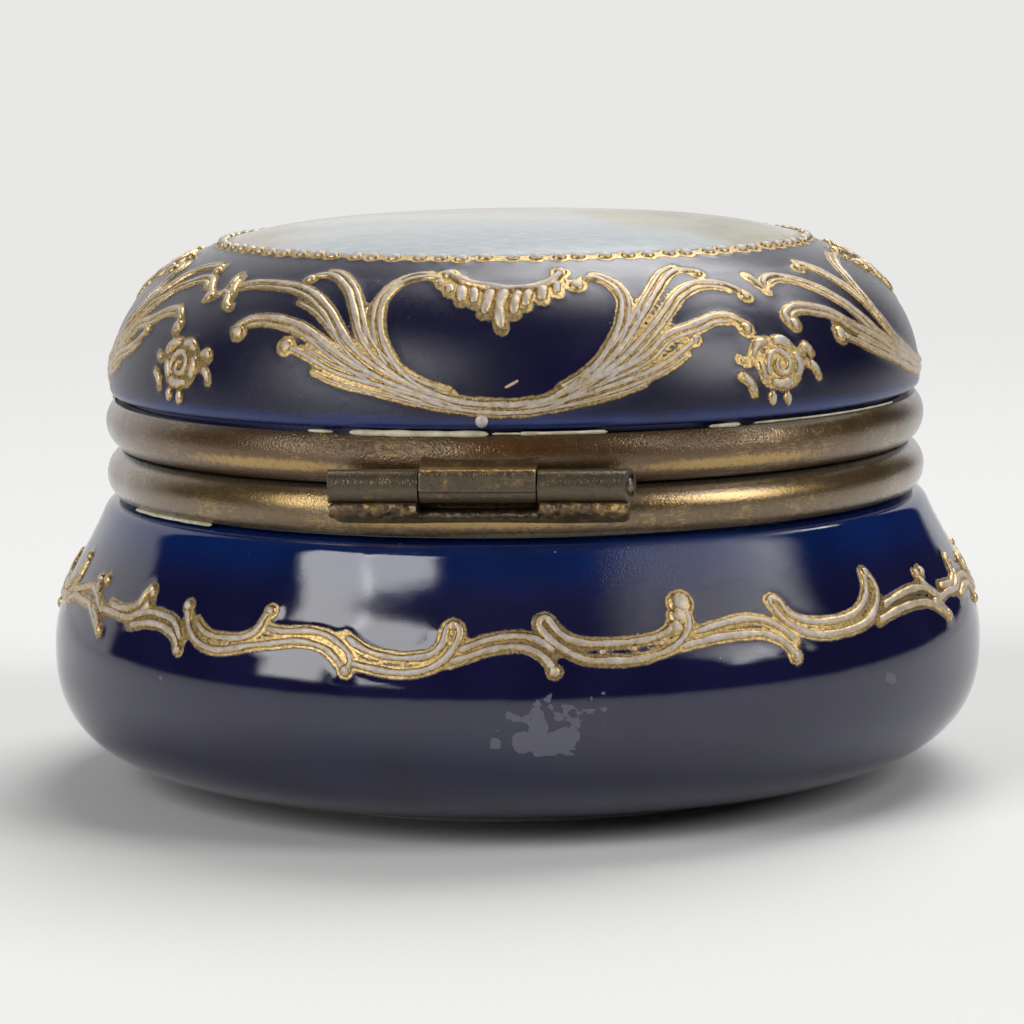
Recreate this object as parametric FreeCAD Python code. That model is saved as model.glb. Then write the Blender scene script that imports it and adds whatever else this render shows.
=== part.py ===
"""Round porcelain trinket box with a hinged brass mount, one STEP file per piece.

Frame: millimetres, +Z up, origin at the centre of the foot's resting plane.
The thumbpiece faces -Y and the hinge is at the back, at +Y.

Everything round is a closed outline in (radius, height) turned about the Z axis.
The hinge pieces are extrusions along X, trimmed to the round collars they are soldered to.
"""
import FreeCAD, Part
import math
import os

V = FreeCAD.Vector

# ---- driving dimensions -------------------------------------------------------------

BELLY_RADIUS = 50.0          # widest radius of the bowl
BELLY_HEIGHT = 14.8          # height of that widest ring
BELLY_POWER = 2.56           # squareness of the belly below it; 2 would be an ellipse
BOX_HEIGHT = 60.0            # top of the closed lid
PARTING_HEIGHT = 35.9        # plane where the two brass collars meet
PARTING_GAP = 0.12           # daylight left between the collars when shut

FOOT_RADIUS = 32.0           # outside of the foot ring
FOOT_WIDTH = 3.2
FOOT_HEIGHT = 1.6
PORCELAIN_WALL = 3.0

SHOULDER_RADIUS = 44.5       # top of the bowl's sloping wall
SHOULDER_HEIGHT = 29.0
LIP_TOP = 34.95              # top of the bowl's upright lip, under the collar
BOWL_LIP_OUTER = 41.5
BOWL_LIP_INNER = 39.45

LID_WALL_RADIUS = 43.5       # outside of the lid's upright wall
LID_WALL_BASE = 41.6         # lower edge of the glazed wall, just above the collar
LID_LIP_OUTER = 41.6
LID_LIP_INNER = 39.9
LID_LIP_BOTTOM = 36.85

BEAD_RADIUS = 44.0           # widest radius of both half-round collar beads
BEAD_EDGE_RADIUS = 43.0      # bead edge next to the porcelain
BEAD_GROOVE_RADIUS = 42.3    # bead edge at the parting plane
COLLAR_BORE = 41.9           # inside of the bead wall, round the porcelain lip
FLANGE_THICKNESS = 0.5
BOWL_COLLAR_BOTTOM = 31.0
LID_COLLAR_TOP = 41.0
BOWL_BEAD_CENTRE = 33.3      # height of the widest line of each bead
LID_BEAD_CENTRE = 38.6

BAND_OUTER = 39.3            # upright strip that centres the lid
BAND_THICKNESS = 0.4
BAND_BOTTOM = 33.2
BAND_TOP = 38.6
LID_FLANGE_BORE = 39.7       # swings clear of the band

HINGE_Y = 45.5               # pin axis, just outside the collars
HINGE_Z = 36.4
KNUCKLE_RADIUS = 1.65
PIN_RADIUS = 0.55
PIN_CLEARANCE = 0.05         # between the pin and the lid's knuckle
LID_KNUCKLE_LENGTH = 11.4
BOWL_KNUCKLE_LENGTH = 8.9
KNUCKLE_GAP = 0.15
END_CUT_DEG = {"left": 18.0, "right": 10.0}   # hand-filed slant of the hinge's two ends
COUNTERSINK_RADIUS = 1.05
COUNTERSINK_DEPTH = 0.5
PIN_HEAD_RADIUS = 0.85       # peened end of the pin
LEDGE_TOP = 34.0             # stop under the lid's knuckle
LEDGE_BOTTOM = 33.05
LEDGE_REACH = 46.35

THUMB_WIDTH = 9.0
THUMB_REACH = 3.4            # how far the thumbpiece stands out from the bead

# ---- outline helpers ----------------------------------------------------------------


def at(point):
    """Place an outline point (radius, height) in the XZ plane."""
    return V(point[0], 0.0, point[1])


def line(start, end):
    return Part.LineSegment(at(start), at(end)).toShape()


def arc(start, middle, end):
    return Part.Arc(at(start), at(middle), at(end)).toShape()


def curve(points, start_direction, end_direction):
    """Smooth curve through the points, leaving and arriving in the given directions."""
    spline = Part.BSplineCurve()
    spline.interpolate(
        Points=[at(p) for p in points],
        InitialTangent=at(start_direction),
        FinalTangent=at(end_direction),
    )
    return spline.toShape()


def turned(edges):
    """Turn a closed outline a full circle about the Z axis."""
    face = Part.Face(Part.Wire(edges))
    return face.revolve(V(0, 0, 0), V(0, 0, 1), 360)


def squared_quarter(rim, crown, side_power, crown_power, steps=14):
    """Points of a squarish quarter oval from rim (radius, height) to crown.

    The radius falls as cos^(2/side_power) while the height moves as sin^(2/crown_power).
    """
    points = []
    for i in range(steps + 1):
        angle = math.pi / 2 * i / steps
        across = max(math.cos(angle), 0.0) ** (2 / side_power)
        up = math.sin(angle) ** (2 / crown_power)
        points.append((
            crown[0] + (rim[0] - crown[0]) * across,
            rim[1] + (crown[1] - rim[1]) * up,
        ))
    points[-1] = crown
    return points


def quarter_ellipse(rim, crown):
    """Quarter of a flat ellipse, upright at rim (radius, height) and level at crown below it."""
    centre = (crown[0], rim[1])
    ellipse = Part.Ellipse(at(rim), at(crown), at(centre))
    return Part.ArcOfEllipse(ellipse, 0.0, math.pi / 2).toShape()


def prism(section, x_low, x_high):
    """Extrude a closed (y, z) polygon along X."""
    corners = [V(x_low, y, z) for y, z in section]
    face = Part.Face(Part.makePolygon(corners + corners[:1]))
    return face.extrude(V(x_high - x_low, 0, 0))


def rod(radius, x_low, x_high):
    """Cylinder along X on the hinge axis."""
    return Part.makeCylinder(radius, x_high - x_low, V(x_low, HINGE_Y, HINGE_Z), V(1, 0, 0))


# ---- porcelain ----------------------------------------------------------------------


def porcelain_bowl():
    """Squat bowl: recessed base on a foot ring, round belly, sloping wall, upright lip."""
    foot_inner = FOOT_RADIUS - FOOT_WIDTH
    inner_belly = BELLY_RADIUS - PORCELAIN_WALL
    vault_height = 2.3           # underside, hollowed inside the foot ring
    floor_height = 5.0
    floor_radius = 27.0
    inner_widest = (inner_belly, BELLY_HEIGHT + 0.4)
    belly = squared_quarter(
        (BELLY_RADIUS, BELLY_HEIGHT), (FOOT_RADIUS, FOOT_HEIGHT), BELLY_POWER, BELLY_POWER)
    outline = [
        curve([(0.0, vault_height), (15.0, 2.0), (foot_inner - 0.9, FOOT_HEIGHT)],
              (1, 0), (1, -0.1)),
        line((foot_inner - 0.9, FOOT_HEIGHT), (foot_inner - 0.1, 0.4)),
        arc((foot_inner - 0.1, 0.4), (foot_inner + 0.1, 0.12), (foot_inner + 0.5, 0.0)),
        line((foot_inner + 0.5, 0.0), (FOOT_RADIUS - 0.9, 0.0)),
        arc((FOOT_RADIUS - 0.9, 0.0), (FOOT_RADIUS - 0.5, 0.12), (FOOT_RADIUS - 0.3, 0.4)),
        line((FOOT_RADIUS - 0.3, 0.4), belly[-1]),
        curve(belly[::-1], (1, 0), (0, 1)),
        curve(
            [(BELLY_RADIUS, BELLY_HEIGHT), (48.3, 21.8), (46.4, 25.3),
             (SHOULDER_RADIUS, SHOULDER_HEIGHT)],
            (0, 1), (-0.45, 1)),
        arc((SHOULDER_RADIUS, SHOULDER_HEIGHT), (43.85, 30.0), (42.7, 30.5)),
        line((42.7, 30.5), (BOWL_LIP_OUTER, 30.7)),
        line((BOWL_LIP_OUTER, 30.7), (BOWL_LIP_OUTER, LIP_TOP)),
        line((BOWL_LIP_OUTER, LIP_TOP), (BOWL_LIP_INNER, LIP_TOP)),
        line((BOWL_LIP_INNER, LIP_TOP), (BOWL_LIP_INNER, 31.5)),
        curve([(BOWL_LIP_INNER, 31.5), (41.2, 27.2), (44.9, 21.6), inner_widest],
              (0, -1), (0, -1)),
        quarter_ellipse(inner_widest, (floor_radius, floor_height)),
        line((floor_radius, floor_height), (0.0, floor_height)),
        line((0.0, floor_height), (0.0, vault_height)),
    ]
    return turned(outline)


def porcelain_lid():
    """Domed lid: low upright wall, squarish crown, and a lip that drops into the collar."""
    crown_height = BOX_HEIGHT - PORCELAIN_WALL
    dome = squared_quarter((LID_WALL_RADIUS, LID_WALL_BASE + 0.8), (0.0, BOX_HEIGHT), 3.84, 2.17)
    inside = squared_quarter((LID_LIP_INNER + 0.5, 42.6), (0.0, crown_height), 3.84, 2.17)
    outline = [
        curve(dome, (0, 1), (-1, 0)),
        line(dome[-1], inside[-1]),
        curve(inside[::-1], (1, 0), (0, -1)),
        line(inside[0], (LID_LIP_INNER, 41.0)),
        line((LID_LIP_INNER, 41.0), (LID_LIP_INNER, LID_LIP_BOTTOM)),
        line((LID_LIP_INNER, LID_LIP_BOTTOM), (LID_LIP_OUTER, LID_LIP_BOTTOM)),
        line((LID_LIP_OUTER, LID_LIP_BOTTOM), (LID_LIP_OUTER, LID_WALL_BASE - 0.1)),
        line((LID_LIP_OUTER, LID_WALL_BASE - 0.1), (42.7, LID_WALL_BASE)),
        arc((42.7, LID_WALL_BASE), (43.27, LID_WALL_BASE + 0.23), dome[0]),
    ]
    return turned(outline)


# ---- brass collars and what holds them ----------------------------------------------


def collar(edge_height, bead_height, parting, flange_bore):
    """Half-round bead with a flat flange over the end of the porcelain lip."""
    inward = FLANGE_THICKNESS if edge_height > parting else -FLANGE_THICKNESS
    outline = [
        arc((BEAD_EDGE_RADIUS, edge_height), (BEAD_RADIUS, bead_height),
            (BEAD_GROOVE_RADIUS, parting)),
        line((BEAD_GROOVE_RADIUS, parting), (flange_bore, parting)),
        line((flange_bore, parting), (flange_bore, parting + inward)),
        line((flange_bore, parting + inward), (COLLAR_BORE, parting + inward)),
        line((COLLAR_BORE, parting + inward), (COLLAR_BORE, edge_height)),
        line((COLLAR_BORE, edge_height), (BEAD_EDGE_RADIUS, edge_height)),
    ]
    return turned(outline)


def bowl_rim():
    return collar(BOWL_COLLAR_BOTTOM, BOWL_BEAD_CENTRE, PARTING_HEIGHT - PARTING_GAP / 2, BAND_OUTER)


def lid_rim():
    return collar(LID_COLLAR_TOP, LID_BEAD_CENTRE, PARTING_HEIGHT + PARTING_GAP / 2, LID_FLANGE_BORE)


def cement_bed(lip_outer, lip_inner, lip_end, flange_face, skirt_end):
    """Setting cement: a skirt outside the lip and a flat ring between lip and flange."""
    corners = [
        (lip_inner, flange_face), (COLLAR_BORE, flange_face), (COLLAR_BORE, skirt_end),
        (lip_outer, skirt_end), (lip_outer, lip_end), (lip_inner, lip_end),
    ]
    return turned([line(a, b) for a, b in zip(corners, corners[1:] + corners[:1])])


def bowl_cement():
    flange_face = PARTING_HEIGHT - PARTING_GAP / 2 - FLANGE_THICKNESS
    return cement_bed(BOWL_LIP_OUTER, BOWL_LIP_INNER, LIP_TOP, flange_face, 31.1)


def lid_cement():
    flange_face = PARTING_HEIGHT + PARTING_GAP / 2 + FLANGE_THICKNESS
    return cement_bed(LID_LIP_OUTER, LID_LIP_INNER, LID_LIP_BOTTOM, flange_face, 40.9)


def locating_band():
    """Thin upright strip inside the bowl's collar; its rounded top leads the lid on."""
    inner = BAND_OUTER - BAND_THICKNESS
    middle = BAND_OUTER - BAND_THICKNESS / 2
    shoulder = BAND_TOP - BAND_THICKNESS / 2
    outline = [
        line((BAND_OUTER, BAND_BOTTOM), (BAND_OUTER, shoulder)),
        arc((BAND_OUTER, shoulder), (middle, BAND_TOP), (inner, shoulder)),
        line((inner, shoulder), (inner, BAND_BOTTOM)),
        line((inner, BAND_BOTTOM), (BAND_OUTER, BAND_BOTTOM)),
    ]
    return turned(outline)


# ---- hinge --------------------------------------------------------------------------

LID_KNUCKLE_END = LID_KNUCKLE_LENGTH / 2
BOWL_KNUCKLE_START = LID_KNUCKLE_END + KNUCKLE_GAP
HINGE_END = BOWL_KNUCKLE_START + BOWL_KNUCKLE_LENGTH


def end_trim(side, proud=0.0):
    """Block beyond the slanted plane that the hinge's end was filed to."""
    sign = -1 if side == "left" else 1
    block = Part.makeBox(20, 40, 20, V(0, -20, -10))
    block.rotate(V(0, 0, 0), V(0, 0, 1), END_CUT_DEG[side])
    if sign < 0:
        block = block.mirror(V(0, 0, 0), V(1, 0, 0))
    block.translate(V(sign * (HINGE_END + proud), HINGE_Y, HINGE_Z))
    return block


def bowl_knuckle(side):
    """Outer tube of the hinge, tight on the pin, with its mouth countersunk for peening."""
    sign = -1 if side == "left" else 1
    low, high = sorted((sign * BOWL_KNUCKLE_START, sign * (HINGE_END + 2)))
    tube = rod(KNUCKLE_RADIUS, low, high).cut(rod(PIN_RADIUS, low - 1, high + 1))
    tube = tube.cut(end_trim(side))
    mouth = Part.makeCone(
        PIN_RADIUS, COUNTERSINK_RADIUS + 0.4, COUNTERSINK_DEPTH * 1.6,
        V(sign * (HINGE_END - COUNTERSINK_DEPTH), HINGE_Y, HINGE_Z), V(sign, 0, 0))
    return tube.cut(mouth)


def lid_knuckle():
    tube = rod(KNUCKLE_RADIUS, -LID_KNUCKLE_END, LID_KNUCKLE_END)
    return tube.cut(rod(PIN_RADIUS + PIN_CLEARANCE, -LID_KNUCKLE_END - 1, LID_KNUCKLE_END + 1))


def hinge_pin():
    """Wire through all three knuckles, its ends peened into shallow domes."""
    pin = rod(PIN_RADIUS, -HINGE_END - 2, HINGE_END + 2)
    for side in ("left", "right"):
        pin = pin.cut(end_trim(side, proud=0.05))
    for sign in (-1, 1):
        base = V(sign * (HINGE_END - COUNTERSINK_DEPTH * 0.35), HINGE_Y, HINGE_Z)
        dome = Part.makeSphere(PIN_HEAD_RADIUS, base)
        keep = Part.makeCylinder(PIN_HEAD_RADIUS + 0.1, 0.45, base, V(sign, 0, 0))
        dome = dome.common(keep).common(rod(PIN_HEAD_RADIUS, -HINGE_END - 2, HINGE_END + 2))
        pin = pin.fuse(dome)
    return pin.removeSplitter()


def bowl_hinge_plate(rim):
    """Bearer soldered to the bowl's collar: ledge under all three knuckles, web under two."""
    ledge = prism(
        [(40.0, LEDGE_BOTTOM), (45.2, LEDGE_BOTTOM), (LEDGE_REACH, LEDGE_BOTTOM + 0.55),
         (LEDGE_REACH, LEDGE_TOP), (40.0, LEDGE_TOP)],
        -HINGE_END - 2, HINGE_END + 2)
    plate = ledge
    for low, high in ((-HINGE_END - 2, -BOWL_KNUCKLE_START), (BOWL_KNUCKLE_START, HINGE_END + 2)):
        web = prism(
            [(40.0, LEDGE_TOP), (LEDGE_REACH, LEDGE_TOP), (LEDGE_REACH, HINGE_Z - 1.0),
             (HINGE_Y, HINGE_Z), (HINGE_Y - 1.0, HINGE_Z - 1.1), (40.0, HINGE_Z - 1.1)],
            low, high)
        plate = plate.fuse(web)
    outside_collar = Part.makeCylinder(60, 10, V(0, 0, 30)).cut(
        Part.makeCylinder(COLLAR_BORE + 0.4, 10, V(0, 0, 30)))
    plate = plate.common(outside_collar).cut(rim)
    plate = plate.cut(rod(KNUCKLE_RADIUS, -HINGE_END - 3, HINGE_END + 3))
    for side, sign in (("left", -1), ("right", 1)):
        beyond = Part.makeBox(20, 40, 20, V(0 if sign > 0 else -20, 30, 25))
        beyond.translate(V(sign * (HINGE_END - 0.25), 0, 0))
        plate = plate.cut(end_trim(side)).cut(beyond)
    return plate.removeSplitter()


def lid_hinge_plate(rim):
    """Sheet from the lid's collar down over the front of the middle knuckle."""
    face = HINGE_Y + 2.0
    section = [
        (42.6, HINGE_Z + 0.9), (HINGE_Y - 1.0, HINGE_Z + 0.9), (HINGE_Y, HINGE_Z),
        (HINGE_Y + 1.0, HINGE_Z - 0.4), (face, HINGE_Z - 0.4), (face, HINGE_Z + 1.5),
        (face - 0.35, HINGE_Z + 1.85), (44.3, HINGE_Z + 2.45), (42.6, HINGE_Z + 2.45),
    ]
    plate = prism(section, -LID_KNUCKLE_END, LID_KNUCKLE_END)
    plate = plate.cut(rim).cut(rod(KNUCKLE_RADIUS, -LID_KNUCKLE_END - 1, LID_KNUCKLE_END + 1))
    return max(plate.Solids, key=lambda solid: solid.Volume)


# ---- thumbpiece ---------------------------------------------------------------------


def thumbpiece(rim):
    """Small lifting tab on the front of the lid's collar, with a turned-up edge."""
    tip = -(BEAD_RADIUS + THUMB_REACH)
    root = -(BEAD_RADIUS - 1.6)
    half = THUMB_WIDTH / 2
    section = [
        (root, 37.6), (root, 39.7), (-45.3, 39.55), (-46.5, 40.0), (tip + 0.25, 40.75),
        (tip, 40.45), (tip + 0.35, 39.5), (-46.0, 38.6), (-44.6, 38.0),
    ]
    slab = prism(section, -half, half)
    plan = [
        Part.LineSegment(V(-half, root, 30), V(-half, -45.0, 30)).toShape(),
        Part.Arc(V(-half, -45.0, 30), V(0, tip, 30), V(half, -45.0, 30)).toShape(),
        Part.LineSegment(V(half, -45.0, 30), V(half, root, 30)).toShape(),
        Part.LineSegment(V(half, root, 30), V(-half, root, 30)).toShape(),
    ]
    tongue = Part.Face(Part.Wire(plan)).extrude(V(0, 0, 20))
    tab = slab.common(tongue).cut(rim)
    return max(tab.Solids, key=lambda solid: solid.Volume)


# ---- assembly -----------------------------------------------------------------------


def build():
    lower, upper = bowl_rim(), lid_rim()
    return {
        "porcelain_bowl": porcelain_bowl(),
        "bowl_cement": bowl_cement(),
        "bowl_rim": lower,
        "locating_band": locating_band(),
        "bowl_hinge_plate": bowl_hinge_plate(lower),
        "bowl_knuckle_left": bowl_knuckle("left"),
        "bowl_knuckle_right": bowl_knuckle("right"),
        "hinge_pin": hinge_pin(),
        "porcelain_lid": porcelain_lid(),
        "lid_cement": lid_cement(),
        "lid_rim": upper,
        "lid_hinge_plate": lid_hinge_plate(upper),
        "lid_knuckle": lid_knuckle(),
        "thumbpiece": thumbpiece(upper),
    }


def main():
    os.makedirs("parts", exist_ok=True)
    for name, shape in build().items():
        box = shape.BoundBox
        print(f"{name:20s} solids {len(shape.Solids)} valid {shape.isValid()} "
              f"volume {shape.Volume:9.1f} mm3  size {box.XLength:.1f} x {box.YLength:.1f} x {box.ZLength:.1f}")
        shape.exportStep(f"parts/{name}.step")


main()
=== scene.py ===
# %% [markdown]
# # A porcelain trinket box
# The real box is a squat porcelain bowl and a domed porcelain lid, each dipped in a deep cobalt glaze.
# A painter then piped white enamel over gold to draw scrolls, roses and a running vine.
# Two half-round brass collars are cemented over the rims, and a three-part hinge joins them.
# This lesson starts from an engineering model that already gives every piece its size and place.
# We load it as a fixed frame and never move it. Each cell then makes one piece or one finish.

# %% Open the fixed frame
import math

import bpy
import numpy as np
from mathutils import Matrix


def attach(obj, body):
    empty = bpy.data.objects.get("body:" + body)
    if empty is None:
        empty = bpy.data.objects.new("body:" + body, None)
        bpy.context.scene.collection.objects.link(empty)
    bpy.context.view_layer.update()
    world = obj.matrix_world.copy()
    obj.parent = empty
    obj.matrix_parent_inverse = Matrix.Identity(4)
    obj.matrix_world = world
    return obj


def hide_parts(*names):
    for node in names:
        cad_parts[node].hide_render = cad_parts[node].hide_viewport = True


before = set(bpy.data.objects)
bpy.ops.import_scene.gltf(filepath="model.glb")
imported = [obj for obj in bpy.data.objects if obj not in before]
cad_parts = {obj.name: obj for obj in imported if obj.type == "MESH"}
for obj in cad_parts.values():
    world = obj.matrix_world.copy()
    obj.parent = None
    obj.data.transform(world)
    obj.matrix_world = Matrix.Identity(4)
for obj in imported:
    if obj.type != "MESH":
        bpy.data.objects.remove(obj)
bpy.context.view_layer.update()
print("pieces in the frame:", ", ".join(sorted(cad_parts)))

# %% [markdown]
# ## Smooth lines from a few given points
# A decorator's brush follows a smooth line, and so does the side of a thrown pot.
# We could click the points of a Bezier curve by hand, but then nothing could be measured or repeated.
# Instead we write down a few points and pass a cubic through them, which bends as evenly as a thin
# strip of wood does. Everything is in millimetres here and becomes metres only in the finished mesh.

# %% Smooth lines and even steps
MM = 0.001


def smooth_line(points, start=None, end=None, per_span=24):
    """Points along a cubic spline through the given points.

    Between two points the line is the cubic that meets both points and both slopes. The slopes
    make the second derivative continuous, which is one small set of linear equations. A free
    end has no bending, and start or end may name a direction instead.
    """
    p = np.asarray(points, float)
    span = np.linalg.norm(np.diff(p, axis=0), axis=1)
    inner = np.arange(1, len(p) - 1)
    matrix, right = np.eye(len(p)), np.zeros_like(p)
    matrix[inner, inner - 1], matrix[inner, inner + 1] = span[1:], span[:-1]
    matrix[inner, inner] = 2 * (span[1:] + span[:-1])
    rise = np.diff(p, axis=0) / span[:, None]
    right[inner] = 3 * (span[1:, None] * rise[:-1] + span[:-1, None] * rise[1:])
    for row, beside, direction, slope in ((0, 1, start, rise[0]), (-1, -2, end, rise[-1])):
        if direction is None:
            matrix[row, row], matrix[row, beside], right[row] = 2, 1, 3 * slope
        else:
            right[row] = np.asarray(direction, float) / np.linalg.norm(direction)
    slopes = np.linalg.solve(matrix, right)
    u = np.linspace(0, 1, per_span, endpoint=False)[:, None]
    a, b = p[:-1, None], p[1:, None]
    h = span[:, None, None]
    ma, mb = slopes[:-1, None] * h, slopes[1:, None] * h
    line = ((2 * u**3 - 3 * u**2 + 1) * a + (u**3 - 2 * u**2 + u) * ma
            + (3 * u**2 - 2 * u**3) * b + (u**3 - u**2) * mb)
    return np.vstack([line.reshape(-1, p.shape[1]), p[-1]])


def lengths(line):
    """Distance walked from the first point of a line to each of its points."""
    return np.r_[0, np.cumsum(np.linalg.norm(np.diff(line, axis=0), axis=1))]


def in_steps(line, step):
    """The same line walked in equal steps of about the given length."""
    walked = lengths(line)
    wanted = np.linspace(0, walked[-1], max(2, int(round(walked[-1] / step)) + 1))
    return np.stack([np.interp(wanted, walked, axis) for axis in line.T], axis=1)


# %% [markdown]
# ## The two porcelain outlines
# Porcelain like this is slip-cast in a plaster mould that was itself turned on a wheel, so both shells
# are one outline turned about the upright axis. The outline is a list of (radius, height) stretches.
# The squarish shoulders come from a quarter oval whose power is above two: at two it is an ellipse,
# and larger powers push it towards a box. Both lists are the sizes of the engineering model.

# %% Outlines of the lid and the bowl
def squared_quarter(rim, crown, side_power, crown_power, count=500):
    """Radius falls as cos^(2/side_power) of an angle and height moves as sin^(2/crown_power)."""
    angle = np.linspace(0, np.pi / 2, count)
    across = np.cos(angle).clip(0) ** (2 / side_power)
    up = np.sin(angle) ** (2 / crown_power)
    return np.stack([crown[0] + (rim[0] - crown[0]) * across,
                     rim[1] + (crown[1] - rim[1]) * up], axis=1)


WALL_BASE = 41.6
fillet_turn = np.linspace(-np.pi / 2, 0, 24)
lid_edge = np.stack([42.7 + 0.8 * np.cos(fillet_turn), 42.4 + 0.8 * np.sin(fillet_turn)], axis=1)
lid_outside = np.vstack([lid_edge, squared_quarter((43.5, 42.4), (0, 60), 3.84, 2.17)[1:]])
lid_inside = squared_quarter((40.4, 42.6), (0, 57), 3.84, 2.17)
belly = squared_quarter((50, 14.8), (32, 1.6), 2.56, 2.56)[::-1]
neck = smooth_line([(50, 14.8), (48.3, 21.8), (46.4, 25.3), (44.5, 29)], (0, 1), (-0.45, 1))
shoulder = smooth_line([(44.5, 29), (43.85, 30), (42.7, 30.5)], (-0.45, 1), (-1, 0.2))
bowl_outside = np.vstack([belly, neck[1:], shoulder[1:]])
BELLY_AT = lengths(bowl_outside)[len(belly) - 1]
LID_ZERO_AT = lengths(lid_edge)[np.abs(lid_edge[:, 0] - 43.27).argmin()]
print("outline lengths in mm: lid", round(lengths(lid_outside)[-1], 2), "bowl", round(lengths(bowl_outside)[-1], 2))


# %% [markdown]
# ## Addresses on a round pot
# A painter thinks of a pot as a map: how far round, and how far up the wall. We do the same.
# An address is an azimuth in degrees, counted from the hinge, and a length along the outline in
# millimetres. The class turns any number of addresses into points and upright directions at once, so
# every scroll can be written on the map and still sit exactly on the curved glaze.

# %% A map of a turned surface
class Shell:
    """The outside of a turned piece, addressed by azimuth and by length along its outline.

    At length s the outline gives radius r and height z. The point is (-r sin A, r cos A, z), and
    the outward direction is the outline's slope turned by a right angle and swung to A.
    """

    def __init__(self, outline, zero):
        self.s = lengths(outline) - zero
        self.r, self.z = outline.T
        slope = np.gradient(outline, axis=0)
        slope /= np.linalg.norm(slope, axis=1)[:, None].clip(1e-9)
        self.out, self.up = slope[:, 1], -slope[:, 0]

    def place(self, azimuth, along, lift=0.0):
        a = np.radians(azimuth)
        r = np.interp(along, self.s, self.r)
        z = np.interp(along, self.s, self.z)
        normal = self.normal(azimuth, along)
        return np.stack([-r * np.sin(a), r * np.cos(a), z], axis=-1) + normal * np.asarray(lift)[..., None]

    def normal(self, azimuth, along):
        a = np.radians(azimuth)
        out, up = np.interp(along, self.s, self.out), np.interp(along, self.s, self.up)
        length = np.hypot(out, up)
        return np.stack([-out * np.sin(a), out * np.cos(a), up], axis=-1) / length[..., None]

    def per_degree(self, along):
        return np.interp(along, self.s, self.r) * np.pi / 180


lid_map = Shell(lid_outside, LID_ZERO_AT)
bowl_map = Shell(bowl_outside, BELLY_AT)
print("one degree at the lid's wall is", round(float(lid_map.per_degree(2.0)), 3), "mm")

# %% [markdown]
# ## From arrays to a Blender piece
# Every piece below is a block of numbers: points, faces that join them, and perhaps a value painted on
# each point. One function turns such a block into a mesh, so there is one place where millimetres
# become metres. It also measures the volume that the faces enclose. A negative volume means that the
# faces look inwards, and then they are turned round.

# %% Making a piece
def signed_volume(points, blocks):
    """Sum over faces of the tetrahedron from the origin: corner dot (next cross last) over six."""
    total = 0.0
    for block in blocks:
        for k in range(1, block.shape[1] - 1):
            a, b, c = points[block[:, 0]], points[block[:, k]], points[block[:, k + 1]]
            total += np.einsum("ij,ij->i", a, np.cross(b, c)).sum() / 6
    return total


def make_piece(name, points, blocks, finishes, body, painted=None, face_finish=None, sharp=40):
    """Build a mesh piece in metres from points in mm, with values painted on its points.

    Blocks are whole arrays of faces, one array for the quads and one for the triangles.
    """
    volume = signed_volume(points, blocks)
    if volume < 0:
        blocks = [block[:, ::-1] for block in blocks]
    corners = np.concatenate([block.ravel() for block in blocks]).astype(np.int32)
    sizes = np.concatenate([np.full(len(block), block.shape[1]) for block in blocks])
    mesh = bpy.data.meshes.new(name)
    mesh.vertices.add(len(points))
    mesh.vertices.foreach_set("co", (points * MM).astype(np.float32).ravel())
    mesh.loops.add(len(corners))
    mesh.loops.foreach_set("vertex_index", corners)
    mesh.polygons.add(len(sizes))
    mesh.polygons.foreach_set("loop_start", np.r_[0, np.cumsum(sizes)[:-1]].astype(np.int32))
    mesh.update(calc_edges=True)
    for label, values in (painted or {}).items():
        values = np.asarray(values, np.float32)
        if values.ndim == 1:
            mesh.attributes.new(label, "FLOAT", "POINT").data.foreach_set("value", values)
        else:
            rgba = np.c_[values, np.ones(len(values), np.float32)].astype(np.float32)
            mesh.attributes.new(label, "FLOAT_COLOR", "POINT").data.foreach_set("color", rgba.ravel())
    for finish in finishes:
        mesh.materials.append(finish)
    if face_finish is not None:
        mesh.polygons.foreach_set("material_index", np.asarray(face_finish, np.int32))
    mesh.shade_smooth()
    mesh.set_sharp_from_angle(angle=math.radians(sharp))
    mesh.update()
    piece = bpy.data.objects.new(name, mesh)
    bpy.context.scene.collection.objects.link(piece)
    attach(piece, body)
    print(f"{name}: {len(points)} points, {len(sizes)} faces, {abs(volume) / 1000:.2f} cm3")
    return piece


def turned(outline, columns):
    """A closed shell: outline point i swung to azimuth j, with both ends of the outline on the axis.

    Returns points, faces, and the azimuth of every point. The first and last point are the poles.
    """
    azimuth = np.arange(columns) * 360 / columns
    a = np.radians(azimuth)
    r, z = outline[1:-1, 0][:, None], outline[1:-1, 1][:, None]
    rings = np.stack([-r * np.sin(a), r * np.cos(a), z + 0 * a], axis=-1).reshape(-1, 3)
    points = np.vstack([[0, 0, outline[0, 1]], rings, [0, 0, outline[-1, 1]]])
    i, j = np.meshgrid(np.arange(len(r) - 1), np.arange(columns), indexing="ij")
    k = (j + 1) % columns
    quads = 1 + np.stack([i * columns + j, (i + 1) * columns + j, (i + 1) * columns + k,
                          i * columns + k], axis=-1).reshape(-1, 4)
    j = np.arange(columns)
    k = (j + 1) % columns
    top = np.stack([0 * j, 1 + j, 1 + k], axis=-1)
    last = 1 + (len(r) - 1) * columns
    bottom = np.stack([0 * j + len(points) - 1, last + k, last + j], axis=-1)
    everywhere = np.r_[0, np.tile(azimuth, len(r)), 0]
    return points, [quads, np.vstack([top, bottom])], everywhere


def row_values(values, columns):
    """One value per outline point, spread over its whole ring."""
    return np.r_[values[0], np.repeat(values[1:-1], columns), values[-1]]


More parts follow.
